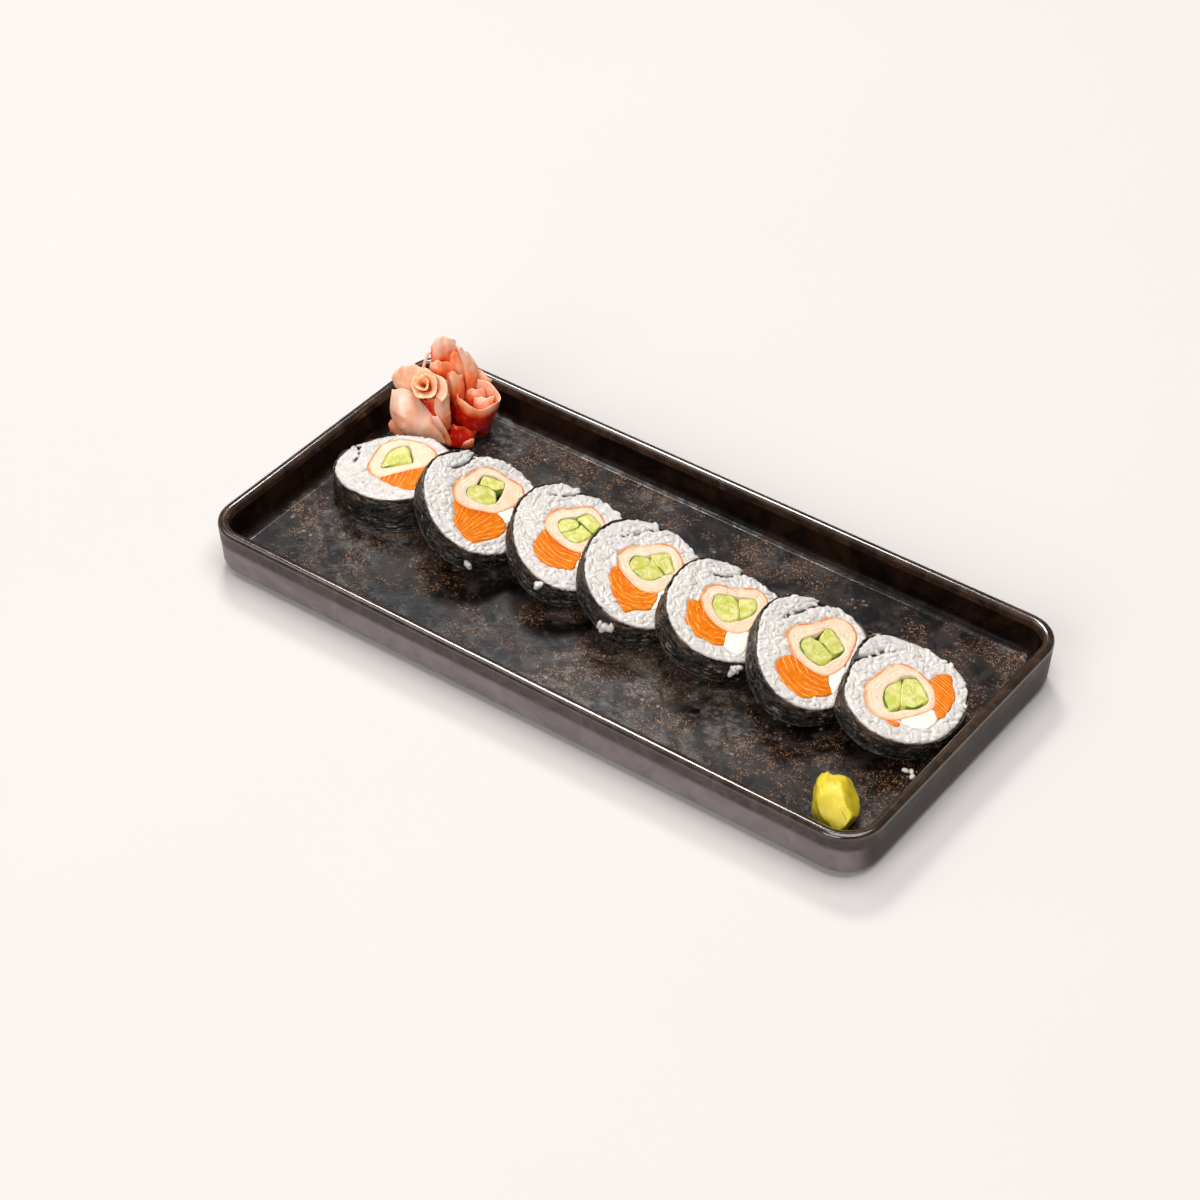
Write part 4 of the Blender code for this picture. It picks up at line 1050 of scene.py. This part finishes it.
def petal(rows, seed, ruffle):
    """A sheet through rows of (right, away, up), lowest row first, its upper edge gently waved."""
    grid = through(np.swapaxes(through(rows, PETAL_UP), 0, 1), PETAL_ACROSS)
    u, v = np.linspace(0, 1, PETAL_ACROSS)[:, None], np.linspace(0, 1, PETAL_UP)[None]
    wave = ruffle * np.sin(2 * pi * 2.3 * u + seed + 1.5 * v) * v ** 2
    grid = grid + wave[..., None] * np.array([0.3, 0.8, 0.25])
    onward = unit(grid[:, -1:] - grid[:, -5:-4])
    torn = 0.45 * noise(np.column_stack([u[:, 0] * 3, np.full(PETAL_ACROSS, seed)]), 1.0, seed, 2)
    return sheet(grid + (torn[:, None] * v ** 4)[..., None] * onward, seed)


def scroll(centre, start, end, turns, seed):
    """A sheet rolled up like a rose, its mouth turned to the front and upwards."""
    mouth = np.array([-0.12, -0.62, 0.77])
    side = unit(np.cross(mouth, [0, 0, 1]))
    over = np.cross(side, mouth)
    angle = np.linspace(0, 2 * pi * turns, SCROLL_ACROSS)
    share = angle / angle[-1]
    reach = (start + (end - start) * share) * (1 + 0.10 * np.sin(2 * angle + 1) + 0.07 * np.sin(3.3 * angle))
    scallop = 0.6 * np.sin(angle * 2.7 + seed) + 0.35 * np.sin(angle * 5.1)
    grid = []
    for v in np.linspace(0, 1, SCROLL_UP):
        wide = reach * (0.5 + 0.5 * v ** 0.7) + (0.6 + 2.2 * share) * v ** 3 * (1 + 0.3 * scallop)
        deep = -8 * (1 - v) - 0.62 * reach * v + (0.7 * scallop - 0.5 * share) * v ** 2
        grid.append(centre + (wide * np.cos(angle) - 2.5 * share)[:, None] * side
                    + (wide * np.sin(angle) * 1.1 - 1.6 * share)[:, None] * over + deep[:, None] * mouth)
    return sheet(np.stack(grid, axis=1), seed, 0.8, 0.4)


# The folds of ginger that show: the slice each belongs to, counted from 0, how deep its red is at
# its foot and head (the ginger's own red together with painted shade, deepest low down), how warm it
# is, the ruffle of its edge, and rows of (right, away, up), the lowest first
PETALS = [
    (0, 0.75, 0.12, 0, 0.5, [
        [(-7, 8, 20), (-4.5, 5.5, 19), (-1, 6, 18), (1.5, 8, 17)],
        [(-8.5, 9, 29), (-5.5, 6.5, 29), (-1.5, 6.5, 28), (1, 9, 27)],
        [(-8.6, 10, 36.5), (-6, 8, 37.5), (-2, 8, 36), (1.5, 10, 34)],
        [(-6.6, 11, 39.5), (-4.8, 10, 42.3), (-2, 10, 42.3), (1.5, 11, 39.5)]]),
    (0, 0.5, 0.15, 0, 0.4, [
        [(4, 6, 14), (6, 4.5, 14), (8.5, 6, 15), (9.5, 8, 16)],
        [(4.5, 7, 21), (6.5, 4.5, 21), (9.5, 6, 22), (11.2, 9, 22)],
        [(4, 8, 29), (6, 6, 29.5), (8.5, 7, 29), (9.8, 10, 28.5)],
        [(1.5, 9, 38.5), (3.2, 8, 38.6), (5, 9, 36.4), (6.2, 10, 34.5)]]),
    (0, 0.95, 0.45, 0.3, 0.4, [
        [(-3, 9, 12), (1, 10, 12), (5, 9, 12)], [(-3, 10, 24), (1, 10.5, 24), (5, 9.5, 24)],
        [(-2, 11, 35), (1, 11.5, 37), (4, 11, 35)]]),
    (0, 0.6, 0.3, 0.5, 0.6, [
        [(-9, 5, 21), (-4, 3, 20), (1, 5, 21)], [(-9.4, 5.5, 27), (-4.5, 3.4, 27.5), (1, 5.4, 27)],
        [(-8.8, 6.8, 32), (-4.8, 5, 33.6), (0.4, 6.5, 31)]]),
    (0, 0.5, 0.35, 0.35, 0.5, [
        [(-1.5, 7, 19), (2.5, 5, 19), (6, 6.5, 19)], [(-1.8, 7.5, 27), (2.5, 5.4, 28), (6.4, 7, 27)],
        [(-1, 9, 34), (2, 8, 36.4), (5, 9, 33)]]),
    (1, 0.6, 0.35, 0.2, 0.5, [
        [(-10, 1, 13), (-5.5, -1.5, 12), (-1, 1, 13)], [(-11, 1.5, 20), (-6, -1.2, 20), (-0.5, 1.2, 20)],
        [(-10.5, 3, 26), (-6, 1, 27.4), (-0.6, 3, 25.5)]]),
    (5, 0.55, 0.15, 0, 0.5, [
        [(3, 6.5, 12), (8, 7, 12), (13, 6.4, 12)], [(4, 7.2, 18), (9, 8, 19), (15, 6.6, 18)],
        [(6, 7.6, 24.5), (10, 8.4, 26.6), (16.4, 6.6, 22.6)]]),
    (7, 0.55, 0.25, 0.2, 0.5, [
        [(-1, 3, 15), (1.5, 0.2, 14), (4.8, 3, 15)], [(-2.8, 3.5, 21), (0.8, 0, 22), (5.2, 3, 22)],
        [(-3.2, 5, 26), (0.2, 2.5, 30), (4.2, 5, 26)]]),
    (4, 1.9, 0.3, 0, 0.3, [
        [(4, 3, 3), (4, -1, 3), (6, -3, 2), (10, -2.8, 1), (14, -2.2, 1), (15.5, 0, 4), (13.5, 3, 5),
         (9, 4, 5)],
        [(3, 4.5, 12), (2.6, -1, 12), (5, -6.5, 12), (11, -7.5, 10), (15.2, -5.5, 10),
         (17.8, -0.5, 12), (15, 4, 13), (9, 5.5, 13)],
        [(3, 5, 21), (2.3, -1, 20.5), (4.8, -5.8, 21.8), (11, -8, 18.6), (16, -6, 18.8),
         (20, -1, 19.4), (15.5, 4.8, 22.6), (9, 6.5, 23)]]),
    (5, 0.8, 0.3, 0, 0.5, [
        [(5, 2, 8), (9, 1.5, 8), (13, 2, 8)], [(5, 3, 14), (8.5, 1, 15), (14, 3, 14)],
        [(5.5, 4, 19), (8, 2.5, 21), (13, 4.5, 20)]]),
    (5, 0.6, 0.1, 0, 0.4, [
        [(8, -1, 8), (12, -2, 8), (15.5, -1, 9)], [(8.5, 0, 13), (12, -1.5, 13), (16.5, 0, 14)],
        [(9, 1.5, 17.5), (12.5, 0.5, 18.3), (17.5, 1, 18.5)]]),
    (3, 0.3, 0, 0, 0.35, [
        [(-22.8, -4, 6.6), (-19, -8.2, 5.4), (-12, -10, 4.4), (-1, -10.6, 1.8)],
        [(-25.6, -2.4, 10.8), (-20, -7.4, 10.8), (-12, -8.6, 10.2), (-3.2, -8.2, 6.6)],
        [(-25.8, 0.2, 16.6), (-21.5, -4.7, 16.5), (-15, -5.2, 15.5), (-8, -4.4, 13)],
        [(-24.8, 2.5, 20.8), (-22, 0.4, 22.6), (-18.5, 0, 22.8), (-15, -0.4, 20.4)]]),
    (3, 0.6, 0.2, 0, 0.2, [
        [(-2.6, -10.4, 1.6), (-1.2, -11, 1.4), (0, -10.2, 2)],
        [(-5, -8.6, 7.6), (-3.4, -9.6, 7.4), (-2.2, -8.6, 8)],
        [(-8.4, -6.6, 14.4), (-7, -7.4, 14.6), (-5.8, -6.6, 14.6)]]),
    (6, 0.2, 0, 0.1, 0.5, [
        [(-23.5, 3, 22), (-20, 1, 21), (-15, 1, 21), (-10, 3, 21)],
        [(-24.8, 3, 27), (-21, 2.5, 28), (-16, 2.5, 28), (-10.5, 4, 27)],
        [(-23, 4, 29.5), (-20, 4, 32.2), (-16.5, 4.5, 32), (-12, 5, 30.6)]]),
    (6, 0.2, 0.1, 0, 0.1, [
        [(-13, 5.6, 25), (-12.2, 5, 25), (-11.2, 5.6, 25)],
        [(-12.2, 6, 30), (-11.5, 5.6, 30.4), (-10.8, 6, 31)],
        [(-10.6, 7.4, 35.4), (-9.6, 7.2, 36.4), (-8.4, 8, 37)]]),
    (2, 0.35, 0.1, 0.2, 0.3, [
        [(-26, -1.5, 2.5), (-23.5, -3, 1.2), (-20, -5.4, 1.2)],
        [(-26.8, -1, 5.5), (-24, -2.8, 5.2), (-20, -4.6, 4.5)],
        [(-25.5, -0.5, 8), (-23.6, -1.6, 8), (-20, -3.6, 7.6)]]),
    (7, 0.45, 0, 0, 0.4, [
        [(-4.8, -5.5, 8), (-2.6, -6.8, 6.4), (-0.6, -5, 7)],
        [(-7, -4.5, 15), (-4, -6.4, 15), (-0.8, -4.5, 15)],
        [(-7, -3.5, 21), (-4, -4.4, 24.6), (-1.4, -3, 22.5)]]),
    (7, 0.9, 0.5, 0.1, 0.4, [
        [(-9, -3.5, 8), (-6, -4.5, 8), (-3, -3, 8)], [(-10, -3, 15), (-7, -4.2, 14.5), (-4, -3, 14)],
        [(-10.5, -2, 20), (-8.5, -2.8, 20.5), (-6, -2, 19.5)]]),
    (5, 1, 0.8, 0, 0.5, [
        [(-0.5, -10.4, 1.2), (3, -11.2, 0.8), (6, -10.4, 0.9), (8.5, -9, 1.5)],
        [(-0.5, -9, 5.5), (2.5, -9.6, 5), (6, -9.4, 4.3), (9, -8, 4)],
        [(0, -7.5, 10), (3, -7, 9), (7, -6.5, 7), (10.5, -6, 6)]]),
    (1, 0.4, 0.1, 0, 0.5, [
        [(10, 8, 1.5), (3, 11.5, 1.2), (-5, 12.5, 1.5)], [(11, 8, 10), (3, 12.5, 10), (-6, 13, 10)],
        [(10, 7.5, 19), (2.5, 12, 21), (-6, 12, 20)], [(8, 7, 25), (2, 11, 29), (-5, 11.5, 27)]]),
    (6, 0.4, 0.1, 0, 0.5, [
        [(-3, 12, 1.5), (-13, 10.5, 1.2), (-20, 5, 1.5)], [(-3, 12.6, 9), (-13, 12, 9), (-22, 5.5, 9)],
        [(-4, 11.5, 17), (-13, 11, 18), (-22.5, 5, 17)], [(-6.5, 10, 22), (-13, 9.5, 24), (-21, 5, 23)]]),
    (5, 0.5, 0.1, 0, 0.4, [
        [(14.5, 2.5, 1.5), (13, 5.5, 1.2), (8, 8.5, 1.5)], [(15.5, 3, 9), (14, 6.8, 9), (8, 9.8, 9)],
        [(15.5, 3.5, 14), (14, 6.8, 16), (8, 9.5, 16)]]),
    (5, 0.5, 0.15, 0, 0.3, [
        [(3.5, -11.5, 0.8), (6, -11.4, 0.7), (8.4, -10, 0.9)],
        [(4, -11.6, 2.6), (6.2, -11.4, 3), (8.8, -9.6, 3)],
        [(5, -11, 4), (6.6, -10.8, 4.6), (9, -9, 4.6)]]),
]
# The scroll: the slice it belongs to, its depth of red at foot and head (own red together with
# painted shade), how warm it is, and its middle, inner and outer reach, turns and seed
SCROLL = (1, 0.5, 0.05, 0.75, ((-12.4, -3.4, 29.6), 0.7, 5.0, 2.6, 3))
# The red cores fill the gaps between the folds with painted deep-red shade.
CORE = [0.56, 0.54, 0.66]    # the size of the red cores under the folds, against the CAD slices


def build_ginger(mat):
    names = sorted(n for n in NODES if n.startswith("ginger_"))
    low = np.min([np.array(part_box(n)[0]) for n in names], axis=0) / MM
    high = np.max([np.array(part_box(n)[1]) for n in names], axis=0) / MM
    base = np.append(((low + high) / 2)[:2], low[2])
    origin = base + [3.9, -0.25, -0.7]
    for k, name in enumerate(names):
        points, faces = subdivided(NODES[name], 2)
        points = points + 0.8 * np.column_stack([noise(points, 5, seed) for seed in (82, 83, 84)])
        sheets, blocks = [base + (points - base) * CORE + [0, 0, 0.3]], [faces]
        # the shrunk CAD slice is a core in deep red: painted shade in the gaps under the folds
        deep, warm = [np.full(len(points), 0.85)], [np.zeros(len(points))]
        extras = [(petal(rows, 200 + 7 * n, ruffle), foot, head, gold, 0)
                  for n, (owner, foot, head, gold, ruffle, rows) in enumerate(PETALS) if owner == k]
        owner, foot, head, gold, spec = SCROLL
        if owner == k:
            extras.append((scroll(*spec), foot, head, gold, 0.75))
        for (extra, more, across, up), foot, head, gold, fade in extras:
            # the back of the closed pouch is in less deep red
            back = (np.arange(len(extra)) >= len(extra) // 2) & (foot > 1.2)
            deep.append((foot + (head - foot) * ease(up) ** 1.8) * np.where(back, 0.42, 1))
            warm.append(gold * (1 - fade * across))
            blocks += [block + sum(map(len, sheets)) for block in more]
            sheets.append(extra @ AXES + origin)
        points = np.vstack(sheets)
        deep = np.clip(np.concatenate(deep) + 0.3 * noise(points * [1, 1, 0.5], 3.2, 85, 2), 0, 1)
        pale = np.clip(0.15 + 1.1 * noise(points, 4, 86, 2), 0, 1) * (1 - 0.7 * deep)
        build("ginger_slice_%d" % (k + 1), points, blocks, mat, "ginger",
              {"deep": deep, "pale": pale, "warm": np.concatenate(warm)}, (name,))


# Flats pressed into the wasabi: which way each faces (right, away, up) and how far out it lies,
# as a share of the lump's own reach that way
FLATS = [((-0.22, -0.58, 0.70), 0.66), ((0.80, -0.10, 0.60), 0.74), ((-0.75, -0.65, -0.10), 0.80),
         ((-0.97, 0.05, 0.15), 0.88), ((0.20, 0.80, 0.55), 0.82), ((0.75, -0.62, -0.22), 0.84)]


def build_wasabi(mat):
    points, faces = subdivided(NODES["wasabi"], 3)
    low, high = (np.array(v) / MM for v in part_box("wasabi"))
    middle = (low + high) / 2
    arm = (points - middle) @ AXES.T * [0.94, 1.02, 1.16]
    arm += 0.5 * np.column_stack([noise(arm, 5, 90 + k) for k in range(3)])
    for facing, share in FLATS:
        facing = unit(np.array(facing))
        out = arm @ facing
        beyond = 0.4 * np.log1p(np.exp(np.clip((out - share * out.max()) / 0.4, -30, 30)))
        arm -= 0.9 * beyond[:, None] * facing
    grain = np.column_stack([arm @ [2.4, 0.3, 1.65], arm[:, 1] * 0.5, arm[:, 2] * 0.6])
    arm += 0.6 * noise(grain, 3.6, 94, 2)[:, None]
    points = middle + arm @ AXES
    points[:, 2] = np.maximum(points[:, 2], low[2])
    build("wasabi_lump", points, [faces], mat, "wasabi", {}, ("wasabi",))


# ------------------------------------------------------------------ studio

def build_studio():
    floor = bpy.data.meshes.new("table")
    form = bmesh.new()
    bmesh.ops.create_grid(form, x_segments=8, y_segments=8, size=6.0)
    form.to_mesh(floor)
    form.free()
    obj = linked("table", floor)
    obj.location.z = -0.0003
    p = Paint("table", Roughness=0.9, Specular_IOR_Level=0.1)
    soft = p.noise(p.place(), 3, 2)
    p.set(Base_Color=p.mix(p.span(soft, 0.3, 0.7), (0.649, 0.613, 0.593), (0.659, 0.623, 0.602)))
    floor.materials.append(p.mat)

    world = bpy.data.worlds.new("studio")
    world.use_nodes = True
    back = world.node_tree.nodes["Background"]
    back.inputs["Color"].default_value = (0.97, 0.985, 1.0, 1.0)
    back.inputs["Strength"].default_value = 0.12
    bpy.context.scene.world = world

    # each lamp's place, power and size; all look at the tray
    for name, place, power, size in (("top", (0.3, 0.1, 2.8), 62, 2.0),
                                     ("left", (-1.6, -0.3, 2.0), 9, 1.2),
                                     ("front", (0.2, -2.6, 1.5), 52, 1.8),
                                     ("gloss", (-1.25, 1.25, 2.2), 34, 0.6)):
        data = bpy.data.lights.new(name, "AREA")
        data.energy = power
        data.size = size
        light = linked(name, data)
        light.location = place
        light.rotation_euler = (Vector((0, 0, 0.01)) - Vector(place)).to_track_quat("-Z", "Y").to_euler()


def build_camera():
    """The main view, from the front corner and above."""
    data = bpy.data.cameras.new("camera")
    data.lens = 96.744
    data.sensor_width = 36
    data.clip_end = 20
    camera = linked("camera", data)
    camera.matrix_world = (Matrix.Translation((0.56286, -0.77868, 0.82454))
                           @ Matrix.Rotation(radians(36.488), 4, "Z")            # round the tray
                           @ Matrix.Rotation(radians(90 - 40.3204), 4, "X")      # above the horizon
                           @ Matrix.Rotation(radians(-0.114), 4, "Z"))           # its roll
    bpy.context.scene.camera = camera
    bpy.context.scene.view_settings.view_transform = "Standard"


PAINTS = {"rice": rice_paint(), "nori": seaweed_paint(), "surimi": surimi_paint(), "salmon": salmon_paint(),
          "cucumber": cucumber_paint(), "cheese": cheese_paint()}
for slice_number in range(1, 8):
    build_slice(slice_number, PAINTS)
build_strays(PAINTS["rice"])
build_tray(tray_paint())
build_ginger(ginger_paint())
build_wasabi(wasabi_paint())
build_studio()
build_camera()
